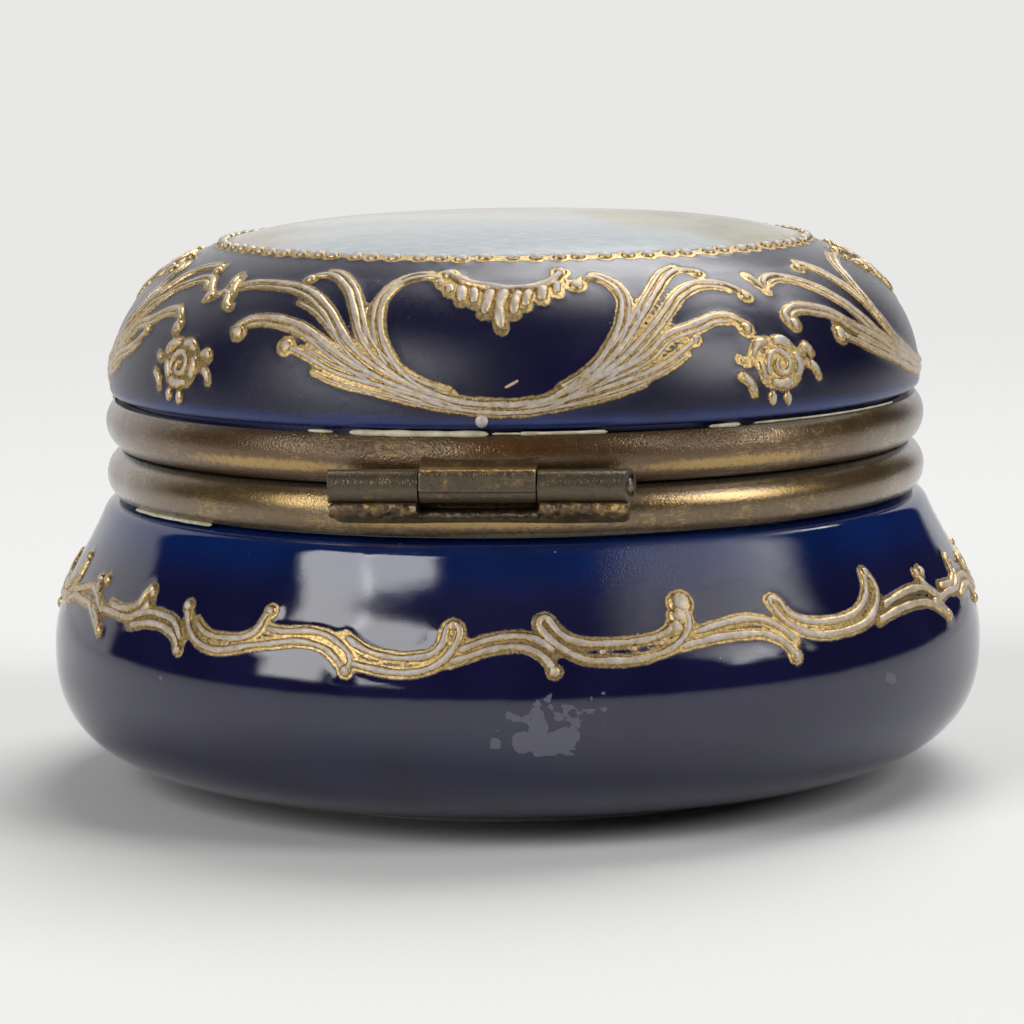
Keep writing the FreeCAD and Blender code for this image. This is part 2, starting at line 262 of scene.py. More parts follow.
# %% [markdown]
# ## Piped enamel: ridges and drops
# The white scrolls are enamel paste, piped like icing and then fired. Up close each line is a small
# half-round ridge that swells and thins as the hand slows down. Displacing the whole lid would need
# millions of points, so each line becomes its own slim ridge: a half-round section carried along the
# line. Drops are shallow domes. All of them are collected into one mesh for each half of the box.

# %% Ridges and drops on a map
hand = np.random.default_rng(7)
SUNK = 0.12


class Piping:
    """Collects ridges and drops on one shell, with a value that is 0 at their foot and 1 on top."""

    def __init__(self, shell):
        self.shell, self.points, self.crest, self.traces = shell, [], [], []
        self.quads, self.triangles, self.count = [], [], 0

    def add(self, points, quads, triangles, crest):
        self.points.append(points)
        self.quads.append(quads + self.count)
        self.triangles.append(triangles + self.count)
        self.crest.append(crest)
        self.count += len(points)

    def walk(self, points, step):
        """Addresses in equal steps along a smooth line drawn through given addresses."""
        p = np.asarray(points, float)
        scale = np.array([self.shell.per_degree(p[:, 1].mean()), 1.0])
        return in_steps(smooth_line(p * scale, per_span=12), step) / scale

    def ridge(self, points, width=0.66, height=0.34, tips=(1.0, 1.0), gold=0.85, step=0.36, beside=0.0):
        """A half-round ridge: sideways w/2 cos t, upwards h sin t, both shrinking as a circle does at each tip.

        Beside moves the whole ridge sideways along the surface, in mm, to lay a second line by a first.
        """
        line = self.walk(points, step)
        if beside:
            scale = np.array([self.shell.per_degree(line[:, 1].mean()), 1.0])
            ahead = np.gradient(line * scale, axis=0)
            ahead /= np.linalg.norm(ahead, axis=1)[:, None].clip(1e-9)
            line = line + beside * np.stack([-ahead[:, 1], ahead[:, 0]], axis=1) / scale
        a, s = line.T
        centre, normal = self.shell.place(a, s), self.shell.normal(a, s)
        along = np.gradient(centre, axis=0)
        along /= np.linalg.norm(along, axis=1)[:, None].clip(1e-9)
        side = np.cross(normal, along)
        walked = lengths(centre)
        if gold:
            self.traces.append((centre, np.full(len(centre), gold)))
        ends = [np.clip(d / (tip * width + 1e-6), 0, 1) for d, tip in zip((walked, walked[-1] - walked), tips)]
        taper = np.sqrt(1 - (1 - ends[0]) ** 2) * np.sqrt(1 - (1 - ends[1]) ** 2)
        phase = hand.uniform(0, 6.28, 2)
        taper = taper * (1 + 0.09 * np.sin(walked * 1.9 + phase[0]) + 0.07 * np.sin(walked * 0.8 + phase[1]))
        t = np.linspace(0, np.pi, 6)
        across = np.r_[np.cos(t), -1, 1] * width / 2
        lift = np.r_[np.sin(t) * height, -SUNK, -SUNK]
        rings = (centre[1:-1, None] + side[1:-1, None] * (across * taper[1:-1, None])[..., None]
                 + normal[1:-1, None] * np.where(lift > 0, lift * taper[1:-1, None], lift)[..., None])
        n, m = rings.shape[:2]
        tip_points = centre[[0, -1]] - normal[[0, -1]] * SUNK / 2
        i, j = np.meshgrid(np.arange(n - 1), np.arange(m), indexing="ij")
        k = (j + 1) % m
        quads = np.stack([i * m + j, (i + 1) * m + j, (i + 1) * m + k, i * m + k], axis=-1).reshape(-1, 4)
        j = np.arange(m)
        k = (j + 1) % m
        first = np.stack([0 * j + n * m, j, k], axis=-1)
        last = np.stack([0 * j + n * m + 1, (n - 1) * m + k, (n - 1) * m + j], axis=-1)
        crest = np.r_[np.tile(np.r_[np.sin(t), 0, 0], n), 0.2, 0.2]
        self.add(np.vstack([rings.reshape(-1, 3), tip_points]), quads, np.vstack([first, last]), crest)

    def drops(self, places, radius, height, gold=0.4, stretch=1.0, clean=1.0):
        """Shallow domes: at latitude t the ring has radius r cos t and height h sin t.

        Clean over 1 says that less gold is left on them.
        """
        places = np.atleast_2d(np.asarray(places, float))
        count = len(places)
        radius = np.broadcast_to(radius, count) * hand.uniform(0.93, 1.07, count)
        a, s = places.T
        centre, normal = self.shell.place(a, s), self.shell.normal(a, s)
        if gold:
            for c, r in zip(centre, radius):
                self.traces.append((c[None], np.array([r + gold])))
        round_way = np.stack([-np.cos(np.radians(a)), -np.sin(np.radians(a)), 0 * a], axis=-1)
        up_way = np.cross(round_way, normal)
        t = np.r_[-0.35, np.linspace(0, np.pi / 2, 5)[:-1]]
        u = np.linspace(0, 2 * np.pi, 12, endpoint=False)
        ring_r = np.cos(t)[:, None] * radius[:, None, None]
        lift = np.where(t < 0, -SUNK, np.sin(t) * height)
        body = (centre[:, None, None] + round_way[:, None, None] * (ring_r * np.cos(u))[..., None]
                + up_way[:, None, None] * (ring_r * np.sin(u) * stretch)[..., None]
                + normal[:, None, None] * lift[None, :, None, None])
        rows, m = len(t), len(u)
        i, j = np.meshgrid(np.arange(rows - 1), np.arange(m), indexing="ij")
        k = (j + 1) % m
        quads = np.stack([i * m + j, i * m + k, (i + 1) * m + k, (i + 1) * m + j], axis=-1).reshape(-1, 4)
        j = np.arange(m)
        k = (j + 1) % m
        cap = np.stack([(rows - 1) * m + j, (rows - 1) * m + k, 0 * j + rows * m], axis=-1)
        foot = np.stack([k, j, 0 * j + rows * m + 1], axis=-1)
        poles = np.stack([centre + normal * height, centre - normal * SUNK], axis=1)
        every = np.concatenate([body.reshape(count, -1, 3), poles], axis=1)
        start = (np.arange(count) * every.shape[1])[:, None, None]
        triangles = (np.vstack([cap, foot])[None] + start).reshape(-1, 3)
        crest = np.r_[np.repeat(np.sin(t).clip(0), m), 1, 0] * clean
        self.add(every.reshape(-1, 3), (quads[None] + start).reshape(-1, 4), triangles, np.tile(crest, count))

    def leaf(self, points, width=1.0, height=0.4, gold=0.55):
        """A short ridge, blunt at its root and long and thin at its tip."""
        self.ridge(points, width, height, tips=(0.6, 1.4), gold=gold, step=0.24)

    def build(self, name, finish, body, slot):
        blocks = [np.vstack(self.quads), np.vstack(self.triangles)]
        return make_piece(name, np.vstack(self.points), blocks, [finish], body,
                          painted={"crest": np.concatenate(self.crest)}, sharp=60)


def gilt_depth(points, traces, reach=1.6):
    """How far each point lies inside the nearest gold line: its half-width less the distance, in mm."""
    depth = np.full(len(points), -reach)
    for line, half in traces:
        low, high = line.min(0) - half.max() - reach, line.max(0) + half.max() + reach
        near = np.flatnonzero(((points > low) & (points < high)).all(axis=1))
        if len(near):
            gap = np.sqrt(((points[near, None] - line) ** 2).sum(-1)) - half
            depth[near] = np.maximum(depth[near], -gap.min(axis=1))
    return depth


# %% [markdown]
# ## The scrolls of the lid
# One design fills a quarter of the lid: two C-scrolls form a heart, plumes fan out on both sides, and a
# small shell hangs in the middle. It is repeated four times with a knot between neighbours. The painter
# worked freehand, so no two quarters agree. We write the points of the quarter over the hinge, give the
# next quarter its own left side, and shift the points of the others a little with a seeded hand.

# %% Points of one quarter of the lid
HEART_LEFT = [
    dict(p=[(9, 2.7), (4, 2.3), (-2, 2.6), (-6, 3.4), (-9.5, 5.0), (-12, 7.0), (-13.8, 9.3), (-14.7, 11.5), (-14.9, 13.5),
            (-14.2, 15.2), (-12.8, 16.5), (-11, 17.2), (-9, 17.4), (-7.2, 17.3)], w=0.95, twin=0.78),
    dict(p=[(0, 1.9), (-5, 2.5), (-9, 3.8), (-13, 6.0), (-15.7, 8.6), (-17, 11), (-17.2, 12.8)], w=0.45, g=0.25),
]
PLUMES_LEFT = [
    dict(p=[(-4, 2.9), (-8, 3.9), (-12, 5.6), (-15, 7.5), (-17.2, 9.6), (-18.6, 11.6), (-20, 13.4), (-21.6, 15), (-23.5, 16.2),
            (-25.5, 17.1), (-27.5, 17.5), (-29.6, 17.0)], w=0.95, twin=-0.75),
    dict(p=[(-5, 3.0), (-9, 4.2), (-13, 5.6), (-16, 7.0), (-18.5, 8.5), (-20.5, 10.2), (-22.6, 11.9), (-25, 13.3), (-28, 14.6),
            (-31, 15.3), (-34, 15.6), (-37, 15.7), (-40, 15.6), (-42.5, 15.2), (-44.3, 14.7)], w=0.9, twin=0.72),
    dict(p=[(-19, 8.0), (-22, 10.0), (-25.5, 11.9), (-29, 13.0)], w=0.4, g=0.3),
    dict(p=[(-6, 3.0), (-10, 3.9), (-14, 5.1), (-18, 6.6), (-22, 8.3), (-25, 9.6), (-27.5, 10.3), (-30, 10.7), (-33, 10.9),
            (-35, 10.8), (-37, 10.3), (-38.4, 9.3)], w=0.9, twin=0.72),
    dict(p=[(-3, 2.3), (-8, 3.2), (-12, 3.9), (-16, 4.6), (-20, 5.4), (-23, 6.4), (-25.5, 7.2), (-27.6, 7.7)], w=0.75, twin=-0.6),
    dict(p=[(-12, 4.7), (-16, 5.6), (-19.5, 6.8), (-23, 8.3), (-26, 9.2)], w=0.4, g=0.3),
    dict(p=[(2, 1.7), (-4, 1.9), (-9, 2.6), (-14, 3.4), (-19, 4.2), (-23, 5.2)], w=0.4, g=0.3),
]
BULBS_LEFT = [(-30, 16.6, 0.6), (-37.3, 9.0, 0.75), (-28.0, 7.8, 0.85)]
HEART_RIGHT = [
    dict(p=[(0, 2.5), (4, 2.3), (9, 2.8), (12, 4.0), (15, 5.8), (17.5, 8.0), (19.2, 10.1), (20.2, 12), (20.6, 13.5), (20.2, 15),
            (19, 16.2), (17.2, 16.9), (15.4, 16.5)], w=0.98, twin=-0.78),
    dict(p=[(9, 2.1), (13, 3.4), (17, 5.6), (20, 8), (22, 10.5), (23, 12.6)], w=0.45, g=0.25),
]
PLUMES_RIGHT = [
    dict(p=[(11, 3.2), (14, 4.5), (18, 7), (21, 9.4), (23.2, 11.4), (25.5, 13.4), (28, 15.4), (30.5, 17), (33, 17.7),
            (35.4, 17.3)], w=0.95, twin=0.75),
    dict(p=[(11, 3.3), (15, 4.7), (19, 6.6), (23, 9.2), (25.6, 11.0), (27.5, 12.4), (29.4, 13.7), (31.4, 14.6), (34, 15.3),
            (37, 15.3), (39.5, 14.7), (41.2, 13.4)], w=0.9, twin=-0.72),
    dict(p=[(9, 2.9), (12, 3.8), (16, 4.9), (20, 6), (23, 7.2), (25.5, 8.7), (28, 9.4), (31, 10), (34, 10.7), (36.5, 10.6),
            (38.4, 9.6)], w=0.88, twin=-0.7),
    dict(p=[(18, 7.6), (21.5, 10.2), (24.5, 13.0), (27, 15.2)], w=0.4, g=0.3),
    dict(p=[(5, 2.0), (8, 2.3), (13, 3.1), (17, 3.9), (21, 4.8), (25, 6), (28, 7.3), (30, 8.2)], w=0.8, twin=-0.62),
    dict(p=[(16, 5.4), (20, 6.9), (23.5, 8.6), (26.5, 10.4)], w=0.4, g=0.3),
    dict(p=[(3, 1.6), (8, 1.7), (13, 2.3), (18, 3.1), (22, 4.0)], w=0.4, g=0.3),
]
BULBS_RIGHT = [(35.8, 16.9, 0.6), (41.4, 13.0, 0.65), (38.5, 9.0, 0.7), (14.4, 15.7, 0.85), (29.8, 8.2, 0.55)]
SHELL_RIM = [(-6.2, 17.8), (-4.6, 17.3), (-3.2, 16.6), (-1.5, 16.1), (1, 15.6), (4, 15.3), (7, 15.4), (9.5, 16),
             (11.3, 16.9), (12.4, 18.0)]
SHELL_LEAVES = [
    [(-7.2, 16.6), (-6.4, 15.6)], [(-5.6, 15.8), (-5.0, 14.4)], [(-3.4, 15.6), (-3.1, 13.1)],
    [(-1.5, 15.3), (-1.2, 12.9)], [(1.3, 15.0), (0.8, 13.4), (0.3, 11.5)],
    [(3.6, 14.9), (2.7, 13.4), (2.5, 11.6), (2.9, 9.7)], [(5.6, 14.7), (4.8, 13.2), (4.6, 11.4)],
    [(7.2, 14.9), (6.5, 13.7), (6.3, 12.4)], [(9.4, 15.5), (8.9, 14.4), (8.9, 13.2)],
    [(11.4, 16.2), (11.2, 15.2), (11.3, 14.2)],
]
NEXT_LEFT = [
    dict(p=[(88, 2.2), (80, 2.8), (76, 3.6), (70, 5.2), (64, 7.2), (60, 8.6), (57, 10), (53, 10.9), (50, 11.2), (47.6, 10.8),
            (46.3, 9.8), (47.0, 9.1)], w=0.9, twin=0.72),
    dict(p=[(88, 1.7), (79, 2.3), (74, 3.1), (69, 4.2), (64, 5.3), (60, 6.5), (57, 7.4)], w=0.8, twin=-0.6),
    dict(p=[(84, 2.6), (77, 4.0), (70, 5.9), (67, 7.2), (64, 9.4), (61, 11.6), (58, 13.4), (54, 15), (51, 15.6),
            (49, 15.5), (47.4, 15), (46.4, 14.1)], w=0.92, twin=0.74),
    dict(p=[(80, 3.2), (74, 5), (71, 6.6), (69, 8.6), (67.5, 10.5), (66, 12.6), (64, 14.6), (62, 16.2), (60, 16.9),
            (58.5, 16.4)], w=0.92, twin=-0.74),
    dict(p=[(98, 2.7), (90, 2.4), (84, 3.0), (78, 4), (74, 5.4), (71.5, 7.2), (70, 9.1), (69.5, 11), (70, 12.9),
            (71.5, 14.9), (74, 16.3), (78, 17.2), (82, 17.4)], w=0.95, twin=0.75),
    dict(p=[(78, 3.6), (72, 4.7), (66, 6.4), (61, 8.1)], w=0.4, g=0.3),
]
NEXT_BULBS = [(47.6, 9.1, 0.7), (56.4, 7.5, 0.9), (58.4, 16.3, 0.6)]
KNOT_RIGHT = [dict(p=[(46.2, 13.4), (45.4, 14.8), (44.8, 15.9)], w=1.15, g=0.3)]
KNOT_LEFT = [
    dict(p=[(-46.6, 16.6), (-46.2, 15.6), (-45.6, 14.6)], w=1.0, g=0.3),
    dict(p=[(-47.2, 13.0), (-45.6, 13.9), (-44.3, 13.4), (-43.4, 12.3), (-41.6, 11.8)], w=0.85, g=0.3),
]
ROSE = dict(petals=[[(-5.2, 1.0), (-3.6, 2.6), (-1.4, 2.9)], [(-0.8, 2.6), (1.4, 2.9), (3.0, 1.9)],
                    [(3.0, 1.4), (3.9, 0.2), (3.1, -1.6)], [(-2.6, -1.7), (0.0, -2.2), (2.4, -1.9)],
                    [(-3.8, 0.9), (-3.6, -0.6), (-2.8, -1.7)]],
            leaves=[[(-6.6, 0.9), (-5.5, 0.4)], [(-6.6, -0.9), (-5.6, -1.3), (-4.9, -2.6)],
                    [(4.4, 1.1), (5.6, 1.7), (6.3, 0.9)], [(5.3, -0.1), (6.2, -0.4), (6.9, -1.5)]],
            drops=[(-1.9, -3.2), (0.7, -3.4)])

# %% [markdown]
# ## Piping the lid
# Now the design is walked round the lid. Each quarter calls the same few lines, so the whole
# decoration is four short loops. The ring of white dots round the painted picture comes last: every dot
# sits where the hand put it, a little early or late.

# %% Pipe the lid's enamel
lid_piping = Piping(lid_map)
QUARTERS = [3.0, 93.0, 183.0, 273.0]
LONG_TIP, GOLD_EDGE = 2.6, 0.26


def strokes(piping, lines, turn, shake=0.0):
    """Pipe every line of a list, turned round the pot and nudged by an unsteady hand.

    A line with a twin gets a second, slimmer ridge laid beside it.
    """
    for line in lines:
        points = np.array(line["p"], float) + [turn, 0]
        points += hand.normal(0, 1, points.shape) * np.array([0.25, 0.18]) * shake
        width, tips = 0.88 * line["w"], (LONG_TIP, line.get("tip", 0.7))
        piping.ridge(points, width=width, height=0.3 * width + 0.06, tips=tips, gold=width / 2 + line.get("g", GOLD_EDGE))
        if "twin" in line:
            piping.ridge(points[: -1 if len(points) > 4 else None], width=width * 0.68, height=0.22 * width + 0.05,
                         tips=(LONG_TIP, LONG_TIP), gold=width / 2 + 0.15, beside=line["twin"])


def rose(piping, azimuth, along, size=1.0):
    """A spiral heart whose radius grows evenly with its turn, ringed by petals and leaves."""
    turn = np.linspace(0, 1.45 * 2 * np.pi, 14)
    grow = (0.25 + 1.55 * turn / turn[-1]) * size
    per = piping.shell.per_degree(along)
    piping.ridge(np.stack([azimuth + grow * np.cos(turn + 1) / per, along + grow * np.sin(turn + 1)], axis=1),
                 width=0.72, height=0.4, gold=0.6)
    for petal in ROSE["petals"]:
        piping.ridge(np.array(petal) * size * 0.86 + [azimuth, along], width=1.2, height=0.46, tips=(1.2, 1.2), gold=0.74)
    for leaf in ROSE["leaves"]:
        piping.leaf(np.array(leaf) * size + [azimuth, along], width=0.95, gold=0.62)
    piping.drops(np.array(ROSE["drops"]) * size + [azimuth, along], 0.5, 0.44, gold=0.12, stretch=1.7)


for number, centre in enumerate(QUARTERS):
    turn, shake = centre - QUARTERS[0], 1.0 if number else 0.0
    strokes(lid_piping, HEART_RIGHT + PLUMES_RIGHT, turn, shake)
    if number != 1:
        strokes(lid_piping, HEART_LEFT + PLUMES_LEFT, turn, shake)
        bulbs = np.array(BULBS_LEFT + BULBS_RIGHT)
    else:
        strokes(lid_piping, NEXT_LEFT, 0.0)
        bulbs = np.array(BULBS_RIGHT + [(a - turn, s, r) for a, s, r in NEXT_BULBS])
    lid_piping.drops(bulbs[:, :2] + [turn, 0], bulbs[:, 2], 0.42)
    strokes(lid_piping, KNOT_RIGHT + (KNOT_LEFT if number != 1 else []), turn, shake)
    lid_piping.ridge(np.array(SHELL_RIM) + [turn, 0], width=1.0, height=0.5, tips=(0.6, 0.6), gold=0.85)
    lid_piping.drops([(-6.0 + turn, 17.9), (12.4 + turn, 18.1)], 0.72, 0.5)
    for leaf in SHELL_LEAVES:
        lid_piping.leaf(np.array(leaf) + [turn, 0.3], width=1.36, height=0.5, gold=0.82)
    rose(lid_piping, 42.6 + turn, 5.0, 1.0 if number != 3 else 0.95)
lid_piping.drops([(0.3, 0.7)], 0.64, 0.3, gold=0.0, clean=2.0)
lid_piping.leaf([(3.2, 3.9), (5.2, 4.7)], width=0.35, height=0.12, gold=0.0)

DOTS = 83
dot_azimuth = np.arange(DOTS) * 360 / DOTS + hand.normal(0, 0.35, DOTS)
dot_along = 21.5 - 0.2 * np.sin(np.radians(dot_azimuth)) + hand.normal(0, 0.07, DOTS)
lid_piping.drops(np.stack([dot_azimuth, dot_along], axis=1), 0.78, 0.5, gold=0.36, stretch=0.85, clean=1.5)
print("ridges and rows of drops on the lid:", len(lid_piping.crest))

# %% [markdown]
# ## Finishes as small graphs
# A finish in Blender is a graph of nodes. Drawing one by hand is fine for one material, but this box
# needs nine that share ideas: grain, specks, stains, worn edges. So we name the ideas once, each as a
# method that adds one node, and every finish becomes a few readable lines. Sizes are in millimetres,
# so a speck that is 0.2 mm wide on the real glaze is written as 0.2.

# %% A helper that writes finishes
def tone(red, green, blue):
    """A colour as a painter mixes it, 0 to 255, turned into the light it reflects."""
    c = np.array([red, green, blue]) / 255
    linear = np.where(c <= 0.04045, c / 12.92, ((c + 0.055) / 1.055) ** 2.4)
    return (*linear.tolist(), 1.0)


class Finish:
    """A material being written: each method adds a node and gives its output."""

    def __init__(self, name):
        self.material = bpy.data.materials.new(name)
        self.material.use_nodes = True
        self.tree = self.material.node_tree
        self.tree.nodes.clear()
        self.spot = self.tree.nodes.new("ShaderNodeTexCoord").outputs["Object"]

    def node(self, kind, inputs, **settings):
        made = self.tree.nodes.new(kind)
        for key, value in settings.items():
            setattr(made, key, value)
        for key, value in inputs.items():
            if isinstance(value, bpy.types.NodeSocket):
                self.tree.links.new(value, made.inputs[key])
            elif value is not None:
                made.inputs[key].default_value = value
        return made

    def painted(self, label):
        made = self.node("ShaderNodeAttribute", {}, attribute_name=label)
        return made.outputs["Fac"]

    def painted_colour(self, label):
        return self.node("ShaderNodeAttribute", {}, attribute_name=label).outputs["Color"]

    def stretched(self, x, y, z):
        return self.node("ShaderNodeMapping", {"Vector": self.spot, "Scale": (x, y, z)}).outputs[0]

    def grain(self, size, detail=3.0, rough=0.55, at=None, warp=0.0):
        """Cloudy noise whose blotches are about size millimetres wide."""
        inputs = {"Vector": at or self.spot, "Scale": 1 / (size * MM), "Detail": detail, "Roughness": rough,
                  "Distortion": warp}
        return self.node("ShaderNodeTexNoise", inputs).outputs[0]

    def cells(self, size, output="Distance", at=None, feature="F1"):
        inputs = {"Vector": at or self.spot, "Scale": 1 / (size * MM)}
        return self.node("ShaderNodeTexVoronoi", inputs, feature=feature).outputs[output]

    def calc(self, operation, a, b=0.0, c=0.0):
        made = self.node("ShaderNodeMath", {0: a, 1: b, 2: c}, operation=operation)
        return made.outputs[0]

    def times(self, a, b):
        return self.calc("MULTIPLY", a, b)

    def plus(self, a, b):
        return self.calc("ADD", a, b)

    def soft(self, value, low, high, start=0.0, end=1.0):
        """Smooth step: start below low, end above high, an S-curve between."""
        inputs = {"Value": value, "From Min": low, "From Max": high, "To Min": start, "To Max": end}
        return self.node("ShaderNodeMapRange", inputs, interpolation_type="SMOOTHSTEP").outputs[0]

    def blend(self, amount, a, b):
        inputs = {0: amount, 6: a, 7: b}
        return self.node("ShaderNodeMix", inputs, data_type="RGBA").outputs[2]

    def between(self, amount, a, b):
        return self.node("ShaderNodeMix", {0: amount, 2: a, 3: b}, data_type="FLOAT").outputs[0]

    def height_of_spot(self):
        return self.times(self.node("ShaderNodeSeparateXYZ", {0: self.spot}).outputs["Z"], 1 / MM)

    def specks(self, spacing, radius, share):
        """Round specks: near a cell's centre, and only in the given share of cells."""
        near = self.soft(self.cells(spacing), radius / spacing, radius / spacing * 0.6)
        colour = self.node("ShaderNodeSeparateColor", {0: self.cells(spacing, "Color")}).outputs[0]
        return self.times(near, self.calc("LESS_THAN", colour, share))

    def relief(self, height, deep, strength=1.0, under=None):
        inputs = {"Height": height, "Distance": deep * MM, "Strength": strength}
        if under is not None:
            inputs["Normal"] = under
        return self.node("ShaderNodeBump", inputs).outputs[0]

    def done(self, colour, rough, metal=0.0, normal=None, **more):
        inputs = {"Base Color": colour, "Roughness": rough, "Metallic": metal}
        if normal is not None:
            inputs["Normal"] = normal
        inputs.update({key.replace("_", " "): value for key, value in more.items()})
        shader = self.node("ShaderNodeBsdfPrincipled", inputs)
        self.node("ShaderNodeOutputMaterial", {"Surface": shader.outputs[0]})
        return self.material


# %% [markdown]
# ## Cobalt glaze, gilding and the small damage of a century
# Cobalt glaze is glass: nearly black where it is thick, and blue where it thins over an edge. Liquid
# gold is brushed on before the enamel, so it spreads beyond each ridge with a ragged edge and it has
# worn thin in places. We don't draw the gold as an image. The mesh carries the distance to the nearest
# brush line, and the finish turns it into gold where that distance, shaken by a fine grain, is inside.

# %% Cobalt glaze with gilding
def glaze_finish(name, deep, thin, thin_from, thin_to, rough, scuffed, mottle, wavy, glassy, picture=False):
    f = Finish(name)
    z = f.height_of_spot()
    cloud = f.grain(9, 4)
    edge = f.soft(f.plus(z, f.times(cloud, 0.8)), thin_from, thin_to)
    colour = f.blend(edge, tone(*deep), tone(*thin))
    colour = f.blend(f.soft(cloud, 0.35, 0.75, 0.0, 0.35), colour, tone(4, 4, 16))
    scuff = f.painted("scuff")
    worn = f.soft(f.plus(f.painted("worn"), f.times(f.plus(f.grain(0.9, 4), -0.5), 0.9)), -0.02, 0.06)
    dust = f.calc("MAXIMUM", f.specks(2.6, 0.09, 0.22), f.times(f.specks(0.9, 0.07, 0.10), scuff))
    colour = f.blend(f.times(dust, 0.75), colour, tone(186, 188, 200))
    colour = f.blend(f.times(worn, 0.9), colour, tone(84, 84, 100))
    roughness = f.between(scuff, rough, scuffed)
    roughness = f.plus(roughness, f.times(f.plus(f.grain(1.2, 3), -0.5), 0.04))
    roughness = f.between(worn, roughness, 0.55)
    if picture:
        shown = f.painted("picture")
        brush = f.grain(1.6, 4, at=f.stretched(1, 2.4, 1), warp=0.4)
        colour = f.blend(shown, colour, f.blend(f.soft(brush, 0.3, 0.8, 0.0, 0.16), f.painted_colour("scene_colour"), tone(250, 246, 236)))
        roughness = f.between(shown, roughness, 0.16)
    ragged = f.plus(f.times(f.plus(f.grain(0.22, 3, 0.7), -0.5), 0.42), f.times(f.plus(f.grain(1.8, 2), -0.5), 0.3))
    inside = f.plus(f.plus(f.painted("gilt"), -0.03), ragged)
    gold = f.soft(inside, -0.05, 0.09)
    bald = f.soft(f.grain(0.5, 4, 0.75), 0.66, 0.72)
    gold = f.times(gold, f.calc("SUBTRACT", 1.0, f.times(bald, 0.8)))
    gold_colour = f.blend(f.soft(f.grain(0.35, 4, 0.7), 0.32, 0.66), tone(128, 104, 66), tone(206, 178, 122))
    gold_colour = f.blend(f.soft(inside, 0.16, 0.0, 0.0, 0.5), gold_colour, tone(96, 76, 48))
    colour = f.blend(gold, colour, gold_colour)
    roughness = f.between(gold, roughness, 0.28)
    fine = f.plus(f.times(f.grain(0.13, 3), f.times(mottle, scuff)), f.times(f.grain(0.22, 4, 0.7), f.times(gold, 1.1)))
    normal = f.relief(f.plus(fine, f.times(f.grain(5, 2), wavy)), 0.05)
    return f.done(colour, roughness, f.times(gold, 0.85), normal, IOR=glassy)


lid_glaze = glaze_finish("lid cobalt glaze", (12, 10, 44), (22, 40, 98), 43.9, 42.6, 0.10, 0.27, 0.7, 0.4, 1.52, picture=True)
bowl_glaze = glaze_finish("bowl cobalt glaze", (23, 22, 56), (10, 36, 92), 24.0, 31.0, 0.04, 0.26, 1.7, 0.45, 1.66)


def clear_glaze_finish():
    """White glaze inside: faintly grey, with pinholes and a few iron specks."""
    f = Finish("clear glaze inside")
    pool = f.grain(14, 3)
    colour = f.blend(f.soft(pool, 0.3, 0.75), tone(236, 236, 232), tone(214, 219, 224))
    colour = f.blend(f.times(f.specks(5.0, 0.12, 0.3), 0.8), colour, tone(92, 70, 52))
    return f.done(colour, f.soft(f.grain(3, 3), 0.3, 0.7, 0.07, 0.16), 0.0, f.relief(f.grain(6, 2), 0.05))


def biscuit_finish():
    """Bare fired clay on the foot ring, chalky, and greyed where it has slid on shelves."""
    f = Finish("bare foot ring")
    rubbed = f.soft(f.height_of_spot(), 0.25, 0.05)
    colour = f.blend(f.times(rubbed, f.grain(2, 4)), tone(222, 214, 200), tone(120, 112, 104))
    return f.done(colour, 0.82, 0.0, f.relief(f.grain(0.15, 4, 0.7), 0.04))


inner_glaze, bare_foot = clear_glaze_finish(), biscuit_finish()

# %% [markdown]
# ## The painted picture on the lid
# The top carries a small landscape in soft enamel colours: sky towards the hinge, trees on one side and
# a warm bank below. A texture image would be the usual way, but the picture can also be painted straight
# on the points: each dab is a soft oval of one colour, laid over what is there, as a miniaturist works
# from the sky forward. The place of every dab is wavered so that no oval looks drawn with a compass.

